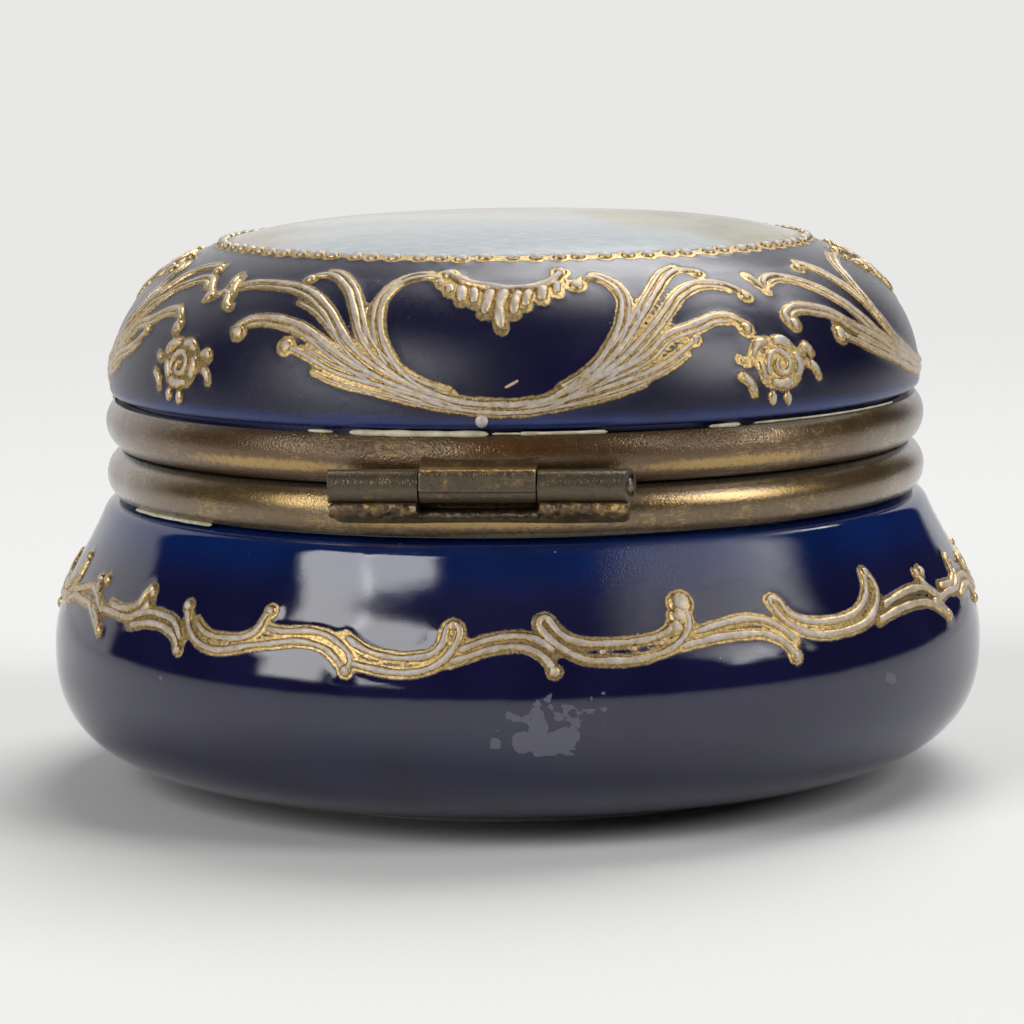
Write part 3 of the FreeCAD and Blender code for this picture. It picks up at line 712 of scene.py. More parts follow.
# %% Paint the picture
DABS = [  # x, y, half-width, half-height in mm, colour, strength
    (0, 24, 34, 12, (190, 205, 218), 0.9), (6, 12, 30, 8, (200, 212, 220), 0.8), (14, 2, 20, 5, (222, 222, 214), 0.8),
    (-4, 6, 10, 3, (226, 226, 220), 0.6), (16, 16, 9, 3, (224, 226, 226), 0.5), (4, -3, 26, 4, (224, 214, 196), 0.9),
    (16, -5, 9, 3.5, (190, 186, 190), 0.7), (6, -6, 10, 2.5, (178, 178, 188), 0.6), (8, -11, 18, 3.6, (196, 206, 206), 0.7),
    (-18, 2, 9, 12, (176, 172, 128), 0.9), (-23, 9, 6, 8, (160, 160, 112), 0.8), (-13, -4, 7, 7, (168, 158, 116), 0.8),
    (-20, -10, 9, 8, (150, 146, 100), 0.8), (-15, 7, 4, 4, (198, 190, 142), 0.7), (-24, 0, 4, 5, (132, 134, 92), 0.7),
    (-11, 1, 3, 5, (186, 178, 140), 0.6), (-17, -3, 2.4, 7, (122, 98, 78), 0.6), (-22, 4, 1.6, 8, (116, 96, 78), 0.5),
    (31, 10, 9, 15, (178, 162, 130), 0.9), (-30, 14, 7, 12, (172, 160, 122), 0.85), (2, -27, 20, 5, (196, 168, 152), 0.7),
    (24, -8, 6, 8, (186, 176, 142), 0.7), (26, -1, 4, 6, (178, 172, 140), 0.5),
    (0, -20, 26, 6, (206, 188, 160), 0.9), (10, -16, 12, 3, (214, 200, 176), 0.8), (-6, -17, 10, 3, (190, 164, 140), 0.7),
    (2, -14, 5, 2, (150, 112, 104), 0.6), (7, -13.4, 2.6, 2.4, (176, 138, 130), 0.6), (-3, -24, 16, 4, (178, 156, 118), 0.8),
    (15, -22, 8, 4, (172, 160, 114), 0.8), (-14, -22, 8, 4, (150, 138, 96), 0.8), (20, -17, 4, 3, (196, 150, 150), 0.5),
]


PAINT_STRENGTH = 0.64  # fired enamel is a little darker than the paint it was mixed from,
WARM_FLUX = np.array([1.0, 0.98, 0.94])  # and the flux over it has yellowed


def landscape(x, y):
    """Lay soft ovals over each other: strength times exp(-(distance in half-widths)^4) of each colour."""
    colour = np.tile(np.array(tone(206, 206, 200)[:3]), (len(x), 1))
    wx = x + 0.9 * np.sin(0.7 * y + 1.3) + 0.5 * np.sin(1.9 * y + 0.6 * x)
    wy = y + 0.8 * np.sin(0.6 * x + 0.4) + 0.5 * np.sin(1.7 * x - 0.9 * y)
    for cx, cy, half_x, half_y, dab, strength in DABS:
        reach = ((wx - cx) / half_x) ** 2 + ((wy - cy) / half_y) ** 2
        cover = (strength * np.exp(-(reach ** 2)))[:, None]
        colour = colour * (1 - cover) + np.array(tone(*dab)[:3]) * cover
    return colour * PAINT_STRENGTH * WARM_FLUX


# %% [markdown]
# ## The lid
# With the map, the strokes and the finishes ready, the lid itself is one turned shell: the outside, the
# upright lip that the collar grips, and the hollow inside. The gold has a little thickness, so the shell
# is lifted by a tenth of a millimetre under it. Three values are painted on the points: depth inside the
# gold, how scuffed the glaze is, and where the picture lies.

# %% Build the lid
COLUMNS = 480
LID_STEP, INNER_STEP = 0.39, 1.7


def outline_of(stretches):
    """Join stretches of an outline, each walked in its own step, and drop the repeated corners."""
    walked = [in_steps(np.asarray(line, float), step) for line, step in stretches]
    line = np.vstack([walked[0]] + [w[1:] for w in walked[1:]])
    return line, np.repeat(np.arange(len(walked)), [len(walked[0])] + [len(w) - 1 for w in walked[1:]])


def around(azimuth, centre, half):
    """1 at an azimuth, falling to 0 a given number of degrees away."""
    gap = (azimuth - centre + 180) % 360 - 180
    return np.exp(-(gap / half) ** 2)


def porcelain_piece(name, line, part, shell, piping, finishes, part_finish, body, slot, colour=None, **painted):
    """A turned porcelain shell, lifted a little under its gold."""
    points, faces, azimuth = turned(line, COLUMNS)
    outer = row_values((part == 0).astype(float), COLUMNS) > 0.5
    gilt = np.full(len(points), -1.6)
    gilt[outer] = gilt_depth(points[outer], piping.traces)
    along = row_values(np.interp(lengths(line), *painted.pop("walk")), COLUMNS)
    values = {label: rule(azimuth, along, points, outer) for label, rule in painted.items()}
    gilt = np.maximum(gilt, values.pop("band", -9.0))
    a, r = np.radians(azimuth), np.hypot(points[:, 0], points[:, 1])
    normal = shell.normal(azimuth, along)
    lift = 0.08 * np.clip((gilt + 0.15) / 0.3, 0, 1) * outer
    points = points + normal * lift[:, None]
    row = np.repeat(part_finish[part[1:-2]], COLUMNS)
    face_finish = np.r_[row, np.full(COLUMNS, part_finish[part[1]]), np.full(COLUMNS, part_finish[part[-1]])]
    values = {"gilt": gilt, **{k: v * np.ones(len(points)) for k, v in values.items()}}
    if colour is not None:
        values["scene_colour"] = colour(points[:, 0], points[:, 1])
    print(name, "gilded share of the outside:", round(float((gilt[outer] > 0).mean()), 3))
    return make_piece(name, points, faces, finishes, body, painted=values, face_finish=face_finish)


lid_line, lid_part = outline_of([
    (lid_outside[::-1], LID_STEP), ([lid_outside[0], (41.6, 41.5)], 0.6), ([(41.6, 41.5), (41.6, 36.85)], 2.4),
    ([(41.6, 36.85), (39.9, 36.85)], 0.9), ([(39.9, 36.85), (39.9, 41.0)], 2.1), ([(39.9, 41.0), lid_inside[0]], 0.8),
    (lid_inside, INNER_STEP)])
RING_AT, RING_HALF = 21.5, 0.62
LID_TOP_AT = float(lid_map.s[-1])


def lid_band(azimuth, along, points, outer):
    """Gold band under the dots: half-width less distance from the ring, wavering a little."""
    centre = RING_AT - 0.2 * np.sin(np.radians(azimuth))
    return np.where(outer, RING_HALF + 0.12 * np.sin(np.radians(azimuth * 17)) - np.abs(along - centre), -9)


def lid_picture(azimuth, along, points, outer):
    return np.where(outer, np.clip((along - RING_AT - 0.5) / 0.4, 0, 1), 0)


def lid_scuff(azimuth, along, points, outer):
    """Rubbed most over the wall and the shoulder, where fingers and dusters pass."""
    return np.clip(0.55 + 0.45 * around(azimuth, -20, 60) + 0.25 * around(azimuth, 120, 70) - 0.3 * (along > 17), 0, 1)


lid_walk = (lengths(lid_line), np.interp(lengths(lid_line), [0, LID_TOP_AT + LID_ZERO_AT], [LID_TOP_AT, -LID_ZERO_AT]))
porcelain_lid = porcelain_piece(
    "lid_porcelain", lid_line, lid_part, lid_map, lid_piping, [lid_glaze, inner_glaze],
    np.array([0, 0, 0, 1, 1, 1, 1]), "lid", "lid_glaze", colour=landscape, walk=lid_walk,
    band=lid_band, picture=lid_picture, scuff=lid_scuff, worn=lambda a, s, p, o: -1.0 + 0 * a)
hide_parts("porcelain_lid")

# %% [markdown]
# ## The vine of the bowl
# A vine runs right round the bowl's shoulder: two ridges side by side in a ribbon of gold, throwing a
# curl upwards and a lobe downwards about every 27 degrees. The stretch that faces the hinge side is
# written out point by point. The rest of the way round repeats it twice, squeezed a little to close.

# %% Points of the vine
VINE = [
    [(-37, 7.5), (-35, 6.4), (-32, 6.1), (-29, 6.4), (-27.3, 7.4), (-26.7, 8.7), (-26.0, 9.4)],
    [(-39, 8.7), (-38, 6.9), (-36.5, 5.7), (-34, 4.9), (-31, 5), (-28, 5.6), (-25, 6), (-22, 6.4), (-20, 6.3), (-17.5, 5.6), (-15.5, 3.9)],
    [(-26.6, 7.6), (-24.5, 7.3), (-21, 7.5), (-18.5, 7.3), (-16.5, 6.5), (-14.7, 4.6), (-15.3, 3.7)],
    [(-15.9, 7.3), (-13, 5.9), (-10, 5.3), (-7, 5.3), (-4.7, 6), (-3.9, 7.2), (-3.7, 8.2), (-3.0, 8.8), (-2.2, 8.4),
     (-2.2, 7.3), (-2.9, 6.1), (-4, 5), (-6, 4.1), (-9, 3.8), (-12, 4.1), (-15, 4.6)],
    [(-2.4, 5.9), (1, 7.1), (4, 7.5), (6.5, 7.2), (8.9, 5.8)],
    [(-3.4, 4.8), (0, 5.8), (3, 6.4), (5.5, 6.3), (7.5, 5.4), (8.7, 3.9)],
    [(24, 9.8), (23, 8.0), (21, 7), (18, 6.6), (15, 6.5), (12, 6.7), (9.9, 7.4), (8.6, 8.7), (7.8, 9.4), (7.1, 9.0), (7.5, 7.9),
     (8.7, 6.8), (10.2, 5.9), (12, 5.1), (15, 4.8), (18, 4.8), (21, 5.3), (23.5, 6.3), (25, 8.2), (24.6, 10.0)],
    [(25.4, 7.1), (30, 7.9), (34, 7.9), (36.5, 7), (38.6, 5.3)],
    [(23.6, 5.8), (28, 6.4), (32, 6.5), (35, 6.2), (37, 5.2), (38.3, 3.8)],
    [(53.2, 11.2), (52.6, 9.6), (51, 8.1), (49, 7.2), (46, 6.8), (43, 6.8), (40, 7.4), (38.2, 8.5), (37.4, 9.7), (36.4, 9.9),
     (36.7, 8.7), (38.8, 6.7), (41, 5.8), (45, 5.5), (49, 5.8), (51.5, 6.5), (53.5, 7.9), (54.5, 9.8), (53.9, 11.0)],
    [(54.3, 7.3), (59, 8.1), (63, 8.3), (66, 7.9), (69, 6.4)],
    [(52.6, 5.9), (57, 6.6), (61, 6.8), (64, 6.6), (67, 5.7), (69.3, 4.5)],
    [(-55.4, 7.6), (-52, 7.3), (-50, 7.6), (-48.5, 8.4), (-47.8, 9.8), (-47.0, 10.1), (-46.6, 9.0)],
    [(-61.2, 9.6), (-59.5, 7.6), (-57, 6.8), (-54, 6.7), (-50, 6.6), (-48, 7.1), (-46.4, 8.8)],
    [(-50, 6.4), (-46, 7.6), (-43, 7.5), (-40.5, 7.0), (-38.7, 5.2)],
    [(-49, 5.8), (-45, 6.5), (-42, 6.3), (-40, 5.6), (-38.9, 4.2)],
    [(-60, 6.4), (-58, 6.0), (-56.3, 4.4)],
]
VINE_ENDS = [(-26.2, 9.3, .62), (-15.3, 3.8, .62), (-3, 8.6, .6), (8.7, 3.9, .66), (24.4, 10.2, 1.35), (23.9, 8.9, 1.15), (23.3, 7.8, .95), (38.3, 3.8, .66),
             (53.6, 11.1, .66), (69.4, 4.6, .66), (-47.2, 10.0, .6), (-39.1, 8.9, .66), (-38.9, 4.3, .6), (-56.2, 4.5, .6),
             (66.4, 9.8, .6), (-61.3, 9.7, .55)]
VINE_DOTS = [(14.3, 5.7, .36), (18, 5.9, .4), (21.3, 6.3, .36), (-31.2, 5.6, .3), (43.5, 6.2, .3), (-8, 4.6, .3)]
VINE_START, VINE_FINISH = -56.2, 69.5

# %% Pipe the vine round the bowl
bowl_piping = Piping(bowl_map)
seen, rest = VINE_FINISH - VINE_START, 360 - (VINE_FINISH - VINE_START)
for lap in range(3):
    squeeze = 1.0 if lap == 0 else rest / 2 / seen
    begin = VINE_START if lap == 0 else VINE_FINISH + (lap - 1) * rest / 2
    for line in VINE:
        points = np.array(line, float)
        points[:, 0] = begin + (points[:, 0] - VINE_START) * squeeze
        if lap:
            points += hand.normal(0, 0.16, points.shape)
        bowl_piping.ridge(points, width=0.84, height=0.36, tips=(0.9, 0.6), gold=0.72)
    for group, lift, gold in ((VINE_ENDS, 0.48, 0.3), (VINE_DOTS, 0.3, 0.2)):
        spots = np.array(group)
        places = np.stack([begin + (spots[:, 0] - VINE_START) * squeeze, spots[:, 1]], axis=1)
        bowl_piping.drops(places, spots[:, 2], lift, gold=gold)
print("ridges and rows of drops on the bowl:", len(bowl_piping.crest))

# %% [markdown]
# ## The bowl
# The bowl is the same kind of turned shell: hollow underside, bare foot ring, belly, sloping neck, the
# upright lip inside the collar, and a white inside. Where it was rubbed or chipped we note a few round
# spots on the map, and the finish frays their edges into the cloudy patches that old glaze shows.

# %% Build the bowl
BOWL_SPOTS = [(5.2, -2.9, 1.2), (7.2, -3.2, 1.35), (9.4, -2.9, 1.35), (10.6, -2.3, .8), (6.8, -1.4, .95), (6.6, -0.2, .7),
              (1.9, -3.1, .6), (2.2, -1.8, .3), (10.9, -4.2, .35), (10.8, -0.9, .5), (9.1, -0.5, .5), (10.4, .4, .4),
              (4.9, -0.6, .45), (3.6, -0.3, .4), (8.1, 0.5, .35), (12.4, 0.1, .3), (52.9, 0.2, .5), (53.9, -0.2, .6), (-41.5, 1.1, .3)]
SPLASH = 46  # droplets thrown up and to the right of the worn patch
bowl_line, bowl_part = outline_of([
    (bowl_outside[::-1], 0.37), ([(32, 1.6), (31.7, 0.4)], 0.5), ([(31.7, 0.4), (31.5, 0.12), (31.1, 0.0)], 0.25),
    ([(31.1, 0), (29.3, 0)], 0.9), ([(29.3, 0), (28.9, 0.12), (28.7, 0.4), (27.9, 1.6)], 0.5),
    (smooth_line([(27.9, 1.6), (15, 2.0), (0, 2.3)], (-1, 0.1), (-1, 0)), 2.5)])
lip_line, lip_part = outline_of([
    ([(0, 5.0), (27, 5.0)], 2.5),
    (np.stack([27 + 20 * np.sin(np.linspace(0, np.pi / 2, 90)), 15.2 - 10.2 * np.cos(np.linspace(0, np.pi / 2, 90))], axis=1), 1.4),
    (smooth_line([(47, 15.2), (44.9, 21.6), (41.2, 27.2), (39.45, 31.5)], (0, 1), (0, 1)), 1.4),
    ([(39.45, 31.5), (39.45, 34.95)], 1.7), ([(39.45, 34.95), (41.5, 34.95)], 1.0),
    ([(41.5, 34.95), (41.5, 30.7)], 2.1), ([(41.5, 30.7), (42.7, 30.5)], 0.6)])
bowl_line = np.vstack([lip_line, bowl_line[1:]])
BOWL_OUTER = 7
bowl_part = np.r_[lip_part + 10, bowl_part[1:]]
NAMES_TO_FINISH = np.zeros(20, int)
NAMES_TO_FINISH[10:15] = 1
NAMES_TO_FINISH[[1, 2, 3, 4]] = 2
NAMES_TO_FINISH[5] = 1


def bowl_scuff(azimuth, along, points, outer):
    """The glaze is rubbed dull over the shoulder on one side of the hinge."""
    rub = around(azimuth, 27, 13) * np.clip((along - 4.0) / 3, 0, 1)
    return np.clip(0.04 + 0.9 * rub + 0.3 * around(azimuth, -140, 30) + 0.25 * around(azimuth, 150, 20), 0, 1)


def bowl_worn(azimuth, along, points, outer):
    drops = np.stack([hand.uniform(5.5, 15.5, SPLASH), hand.uniform(-1.8, 1.7, SPLASH), hand.uniform(0.10, 0.34, SPLASH)], axis=1)
    spots = np.vstack([BOWL_SPOTS, drops])
    traces = [(bowl_map.place(np.array([a]), np.array([s])), np.array([r])) for a, s, r in spots]
    return gilt_depth(points, traces)


outer_start = len(lip_line)
bowl_lengths = lengths(bowl_line)
top_at = float(bowl_map.s[-1])
bowl_walk = (bowl_lengths, np.interp(bowl_lengths - bowl_lengths[outer_start - 1], [0, top_at + BELLY_AT], [top_at, -BELLY_AT]))
bowl_piece = porcelain_piece(
    "bowl_porcelain", bowl_line, bowl_part, bowl_map, bowl_piping, [bowl_glaze, inner_glaze, bare_foot],
    NAMES_TO_FINISH, "bowl", "bowl_glaze", walk=bowl_walk, scuff=bowl_scuff, worn=bowl_worn)
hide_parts("porcelain_bowl")


# %% [markdown]
# ## The enamel's own finish
# Fired enamel is opaque and satiny, white with a lilac cast. The painter gilded over it, and a century
# of dusting took the gold off the tops and left it on the flanks. Each ridge carries its own height from
# foot to crest, so the finish can wear the crests white without knowing where any ridge is.

# %% Enamel finish and the piped pieces
def enamel_finish():
    f = Finish("white enamel over gold")
    wear = f.plus(f.painted("crest"), f.times(f.plus(f.grain(0.45, 4, 0.7), -0.5), 0.7))
    bare = f.soft(f.plus(wear, f.times(f.plus(f.grain(4, 2), -0.5), 0.5)), 0.62, 1.08)
    white = f.blend(f.soft(f.grain(0.7, 3), 0.35, 0.7), tone(194, 186, 180), tone(156, 147, 146))
    gold = f.blend(f.soft(f.grain(0.35, 4, 0.7), 0.32, 0.66), tone(138, 112, 70), tone(222, 194, 136))
    colour = f.blend(bare, gold, white)
    rough = f.between(bare, 0.26, 0.38)
    normal = f.relief(f.plus(f.grain(0.2, 4, 0.7), f.times(f.grain(0.8, 2), 0.8)), 0.05)
    return f.done(colour, rough, f.times(f.calc("SUBTRACT", 1.0, bare), 0.85), normal)


enamel = enamel_finish()
lid_scrolls = lid_piping.build("lid_enamel_scrolls", enamel, "lid", "raised_enamel")
bowl_vine = bowl_piping.build("bowl_enamel_vine", enamel, "bowl", "raised_enamel")

# %% [markdown]
# ## Old brass
# The collars are half-round brass strip, soldered into hoops. Polished brass would be wrong: a hundred
# years leave brown oxide, pits, orange-red copper where acid touched it, green in the crevices, and
# brighter metal only where something rubs. We layer those from the metal up: bare brass, oxide in broad
# clouds, stains at the places noted on the hoop, painted shade in the groove between the collars and in
# the hollows of the hinge, and fine pits as relief.

# %% Brass finishes
def brass_finish(name, oxide, bare, share, rough, scratch=(1, 1, 1), pitted=1.0, lacquer=0.0):
    f = Finish(name)
    cloud = f.plus(f.times(f.grain(7, 4, 0.6), 0.6), f.times(f.grain(0.8, 4, 0.7), 0.4))
    streak = f.plus(f.grain(0.9, 4, 0.65, at=f.stretched(*scratch)), -0.5)
    shown = f.soft(f.plus(cloud, f.times(streak, 0.6)), 0.66 - share, 0.86 - share)
    polish = f.soft(f.plus(f.painted("bright"), f.times(f.plus(f.grain(0.6, 4, 0.75), -0.5), 1.1)), 0.25, 0.85)
    colour = f.blend(f.calc("MAXIMUM", shown, 0.0), tone(*oxide), tone(*bare))
    colour = f.blend(f.times(polish, 0.75), colour, tone(182, 148, 84))
    colour = f.blend(f.soft(f.grain(0.5, 4, 0.75), 0.5, 0.75, 0.0, 0.45), colour, tone(48, 36, 24))
    metal = f.soft(shown, 0.0, 1.0, 0.66, 0.92)
    rust = f.soft(f.plus(f.painted("rust"), f.times(f.plus(f.grain(1.0, 4, 0.7), -0.5), 0.9)), 0.35, 0.95)
    colour = f.blend(f.times(rust, 0.6), colour, tone(112, 62, 28))
    green = f.soft(f.plus(f.painted("verdigris"), f.times(f.plus(f.grain(0.8, 4, 0.7), -0.5), 0.7)), 0.35, 0.8)
    colour = f.blend(f.times(green, 0.6), colour, tone(120, 120, 104))
    # Painted shade: near black and not metallic where the mesh marks a groove or a hollow.
    painted_shade = f.soft(f.plus(f.painted("painted_shade"), f.times(f.plus(f.grain(0.7, 3), -0.5), 0.4)), 0.35, 0.95)
    colour = f.blend(f.times(painted_shade, 0.9), colour, tone(20, 16, 12))
    metal = f.times(metal, f.calc("SUBTRACT", 1.0, f.calc("MAXIMUM", painted_shade, f.times(green, 0.6))))
    pits = f.soft(f.cells(0.36), 0.1, 0.5)
    crinkle = f.plus(f.times(f.painted("crinkle"), 4.5), 0.9)
    dents = f.times(f.plus(f.times(f.grain(0.28, 4, 0.7), 0.8), f.times(pits, 0.35)), crinkle)
    roughness = f.plus(f.times(f.plus(f.grain(1.5, 4), -0.5), 0.16), rough)
    normal = f.relief(f.plus(dents, f.times(streak, 0.5)), 0.04 * pitted)
    return f.done(colour, roughness, metal, normal, Coat_Weight=lacquer, Coat_Roughness=0.13, Coat_IOR=1.5, Coat_Normal=normal)


lid_collar_brass = brass_finish("lid collar brass", (100, 77, 50), (150, 124, 80), 0.14, 0.30, scratch=(1, 1, 5), lacquer=0.7)
bowl_collar_brass = brass_finish("bowl collar brass", (108, 88, 60), (158, 134, 86), 0.16, 0.29, scratch=(1, 1, 5), pitted=0.7, lacquer=0.8)
hinge_brass = brass_finish("hinge brass", (88, 76, 60), (150, 126, 84), 0.12, 0.36, scratch=(0.1, 1, 1), pitted=1.1, lacquer=0.3)
solder_brass = brass_finish("old solder", (84, 68, 44), (178, 146, 88), 0.16, 0.32, pitted=2.2, lacquer=0.5)
band_brass = brass_finish("band brass", (140, 114, 72), (206, 174, 108), 0.25, 0.24)
pin_brass = brass_finish("pin wire", (112, 106, 96), (168, 158, 136), 0.1, 0.35)

# %% [markdown]
# ## The two collars
# Each collar is one closed section carried round a circle: a half-round bead outside and a thin flange
# that turns in over the porcelain lip. The real hoops were bent and dressed by hand, so the bead's
# radius wavers by a few hundredths of a millimetre, and it has three or four shallow knocks.

# %% Build the collars
def arc_through(a, b, c, count):
    """Points on the circle through three points, in equal turns from the first to the last."""
    a, b, c = (np.asarray(p, float) for p in (a, b, c))
    centre = np.linalg.solve(2 * np.array([b - a, c - a]), [b @ b - a @ a, c @ c - a @ a])
    start, middle, end = (math.atan2(*(p - centre)[::-1]) for p in (a, b, c))
    middle, end = (start + (t - start + math.pi) % (2 * math.pi) - math.pi for t in (middle, end))
    t = np.linspace(start, end, count)
    return centre + np.linalg.norm(a - centre) * np.stack([np.cos(t), np.sin(t)], axis=1)


def hoop(loop, columns, push):
    """A closed ring: every point of the loop swung to every azimuth, its radius moved by push(azimuth)."""
    azimuth = np.arange(columns) * 360 / columns
    a = np.radians(azimuth)
    r = loop[:, 0][:, None] + push(azimuth)
    z = loop[:, 1][:, None] + 0 * a
    points = np.stack([-r * np.sin(a), r * np.cos(a), z], axis=-1).reshape(-1, 3)
    i, j = np.meshgrid(np.arange(len(loop)), np.arange(columns), indexing="ij")
    k, n = (j + 1) % columns, (i + 1) % len(loop)
    quads = np.stack([i * columns + j, n * columns + j, n * columns + k, i * columns + k], axis=-1).reshape(-1, 4)
    return points, [quads], np.tile(azimuth, len(loop))


BEAD_POINTS, HOOP_COLUMNS = 30, 512
KNOCKS = [(-75, 4, 0.12), (-28, 6, 0.05), (64, 5, 0.10), (128, 4, 0.16), (-150, 7, 0.08)]


def collar_piece(name, finish, edge, bead, parting, bore, inward, body, seed, shade_from, marks):
    bow = arc_through((43.0, edge), (44.0, bead), (42.3, parting), BEAD_POINTS)
    loop = np.vstack([bow, [(bore, parting), (bore, parting + inward), (41.9, parting + inward), (41.9, edge)]])
    ease = np.r_[np.sin(np.linspace(0, np.pi, BEAD_POINTS)), np.zeros(4)]

    def push(azimuth):
        wave = 0.025 * np.sin(np.radians(azimuth * 3 + seed)) + 0.015 * np.sin(np.radians(azimuth * 7 + 2 * seed))
        knock = sum(deep * around(azimuth, at + seed / 9, wide) for at, wide, deep in KNOCKS)
        return ease[:, None] * (wave - 0.04 - knock)

    points, faces, azimuth = hoop(loop, HOOP_COLUMNS, push)
    step = np.repeat(np.linspace(0, 1, BEAD_POINTS).tolist() + [1, 1, 1, 1], HOOP_COLUMNS)
    painted = {label: sum(around(azimuth, at, wide) * np.exp(-((step - where) / spread) ** 2)
                          for at, wide, where, spread in places) for label, places in marks.items()}
    lip = np.repeat(np.r_[np.zeros(BEAD_POINTS), 0, 0, 1, 1], HOOP_COLUMNS)
    # Painted shade: darkening towards the groove between the two collars and over the hidden flange.
    painted["painted_shade"] = np.maximum(np.clip((step - shade_from) / 0.12, 0, 1), lip)
    return make_piece(name, points, faces, [finish], body, painted=painted)


HALF_GAP = 0.06
lid_collar = collar_piece(  # each mark: azimuth, half-width in degrees, place from edge (0) to groove (1), spread
    "lid_collar", lid_collar_brass, 41.0, 38.6, 35.9 + HALF_GAP, 39.7, 0.5, "lid", 10, 0.85,
    {"rust": [(5, 10, 0.22, 0.2), (150, 30, 0.4, 0.2)], "verdigris": [(-52, 24, 0.0, 0.06), (46, 16, 0.05, 0.08)],
     "bright": [(0, 8, 0.6, 0.15), (34, 16, 0.62, 0.12), (-30, 16, 0.6, 0.12), (165, 24, 0.4, 0.25), (-110, 20, 0.5, 0.2)],
     "crinkle": [(-15, 10, 0.2, 0.16), (29, 8, 0.16, 0.12), (170, 20, 0.3, 0.3)]})
bowl_collar = collar_piece(
    "bowl_collar", bowl_collar_brass, 31.0, 33.3, 35.9 - HALF_GAP, 39.3, -0.5, "bowl", 70, 0.78,
    {"rust": [(85, 30, 0.3, 0.2)], "verdigris": [(10, 20, 0.02, 0.10), (-60, 22, 0.0, 0.10), (170, 40, 0.0, 0.12)],
     "bright": [(36, 16, 0.60, 0.1), (-24, 10, 0.62, 0.14), (-2, 22, 0.3, 0.12), (110, 24, 0.5, 0.2), (-150, 30, 0.5, 0.2)],
     "crinkle": [(-17, 5, 0.55, 0.2), (160, 20, 0.4, 0.2)]})
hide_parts("lid_rim")
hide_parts("bowl_rim")

# %% [markdown]
# ## The hinge
# The middle knuckle is rolled from the same sheet that is soldered to the lid's collar: the sheet dips
# from the collar, turns down over the front and stops in a small step, and the roll shows below it. The
# bearer under the outer knuckles is not a neat plate but solder that was run in, lumpy and frayed. Both
# are bars: a closed section in the plane across the hinge, which may change from station to station along
# it, and two caps. The lumps are random numbers on a coarse grid, joined smoothly.

# %% Hinge bars
AXIS_Y, AXIS_Z, BARREL, HINGE_HALF, MIDDLE_HALF, SIDE_FROM = 45.5, 36.4, 1.65, 14.75, 5.7, 5.85


def lumps(stations, corners, coarse_x, coarse_y, size):
    """Smooth random bumps on a grid: coarse random numbers, drawn out along one way and then the other."""
    coarse = hand.normal(0, size, (coarse_x, coarse_y))
    spread = np.array([np.interp(np.linspace(0, 1, stations), np.linspace(0, 1, coarse_x), c) for c in coarse.T])
    return np.array([np.interp(np.linspace(0, 1, corners), np.linspace(0, 1, coarse_y), c) for c in spread.T])


def bar(name, x, loops, middle, finish, body, painted=None):
    """A closed bar: loop point j of station i at (x_i, y_ij, z_ij), quads between stations, fans on both ends."""
    n, m = loops.shape[:2]
    points = np.concatenate([np.broadcast_to(x[:, None, None], (n, m, 1)), loops], axis=2).reshape(-1, 3)
    points = np.vstack([points, [x[0], *middle], [x[-1], *middle]])
    i, j = np.meshgrid(np.arange(n - 1), np.arange(m), indexing="ij")
    k = (j + 1) % m
    quads = np.stack([i * m + j, (i + 1) * m + j, (i + 1) * m + k, i * m + k], axis=-1).reshape(-1, 4)
    j = np.arange(m)
    k = (j + 1) % m
    fans = np.vstack([np.stack([0 * j + n * m, j, k], axis=-1), np.stack([0 * j + n * m + 1, (n - 1) * m + k, (n - 1) * m + j], axis=-1)])
    values = {label: np.r_[v.ravel(), 0, 0] for label, v in (painted or {}).items()}
    return make_piece(name, points, [quads, fans], [finish], body, painted=values)


def barrel_arc(first, last, count, radius=BARREL + 0.02):
    """Points on the barrel's circle between two angles, 0 straight out from the collar and 90 up."""
    t = np.radians(np.linspace(first, last, count))
    return np.stack([AXIS_Y + radius * np.cos(t), AXIS_Z + radius * np.sin(t)], axis=1)


# %% The sheet and the middle knuckle
dip = smooth_line([(43.6, 39.05), (44.2, 38.62), (45.2, 38.32), (46.4, 38.18)], (1, -1), (1, -0.1), per_span=6)
shoulder_turn = np.stack([46.75 + 0.6 * np.sin(np.linspace(0, np.pi / 2, 7)), 37.58 + 0.6 * np.cos(np.linspace(0, np.pi / 2, 7))], axis=1)
face_down = in_steps(np.array([(47.35, 37.58), (47.36, 36.12)]), 0.12)[1:]
section = np.vstack([[(42.7, 39.05)], dip, shoulder_turn, face_down, [(47.3, 36.02), (47.16, 35.98)],
                     barrel_arc(-17, -182, 26), [(43.5, 37.2), (42.7, 37.2)]])
x = np.linspace(-MIDDLE_HALF, MIDDLE_HALF, 96)
ends = np.clip((MIDDLE_HALF - np.abs(x)) / 0.12, 0, 1)
inset = 1 - 0.05 * (1 - np.sqrt(1 - (1 - ends) ** 2))
centre = np.array([45.4, 36.9])
loops = centre + (section[None] - centre) * inset[:, None, None]
loops[..., 1] += lumps(len(x), len(section), 24, 20, 0.02) * (section[:, 1] > 37.4)
loops[..., 0] += lumps(len(x), len(section), 30, 14, 0.018) * (section[:, 0] > 46.8)
corner_wear = 0.9 * np.exp(-((section[:, 1] - 38.15) / 0.22) ** 2) * (section[:, 0] > 45.4) + 0.4 * (section[:, 1] > 38.3)
face_wear = 0.22 * (section[:, 0] > 47.2) * (section[:, 1] > 36.15)
bright = np.broadcast_to(corner_wear + face_wear, loops.shape[:2]) + lumps(len(x), len(section), 14, 8, 0.18) * (section[:, 0] > 44)
middle = bar("hinge_sheet", x, loops, centre, hinge_brass, "lid",
             painted={"bright": bright, "rust": np.broadcast_to(0.6 * (section[:, 0] < 45.4), loops.shape[:2]) * 1.0})
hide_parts("lid_knuckle", "lid_hinge_plate")

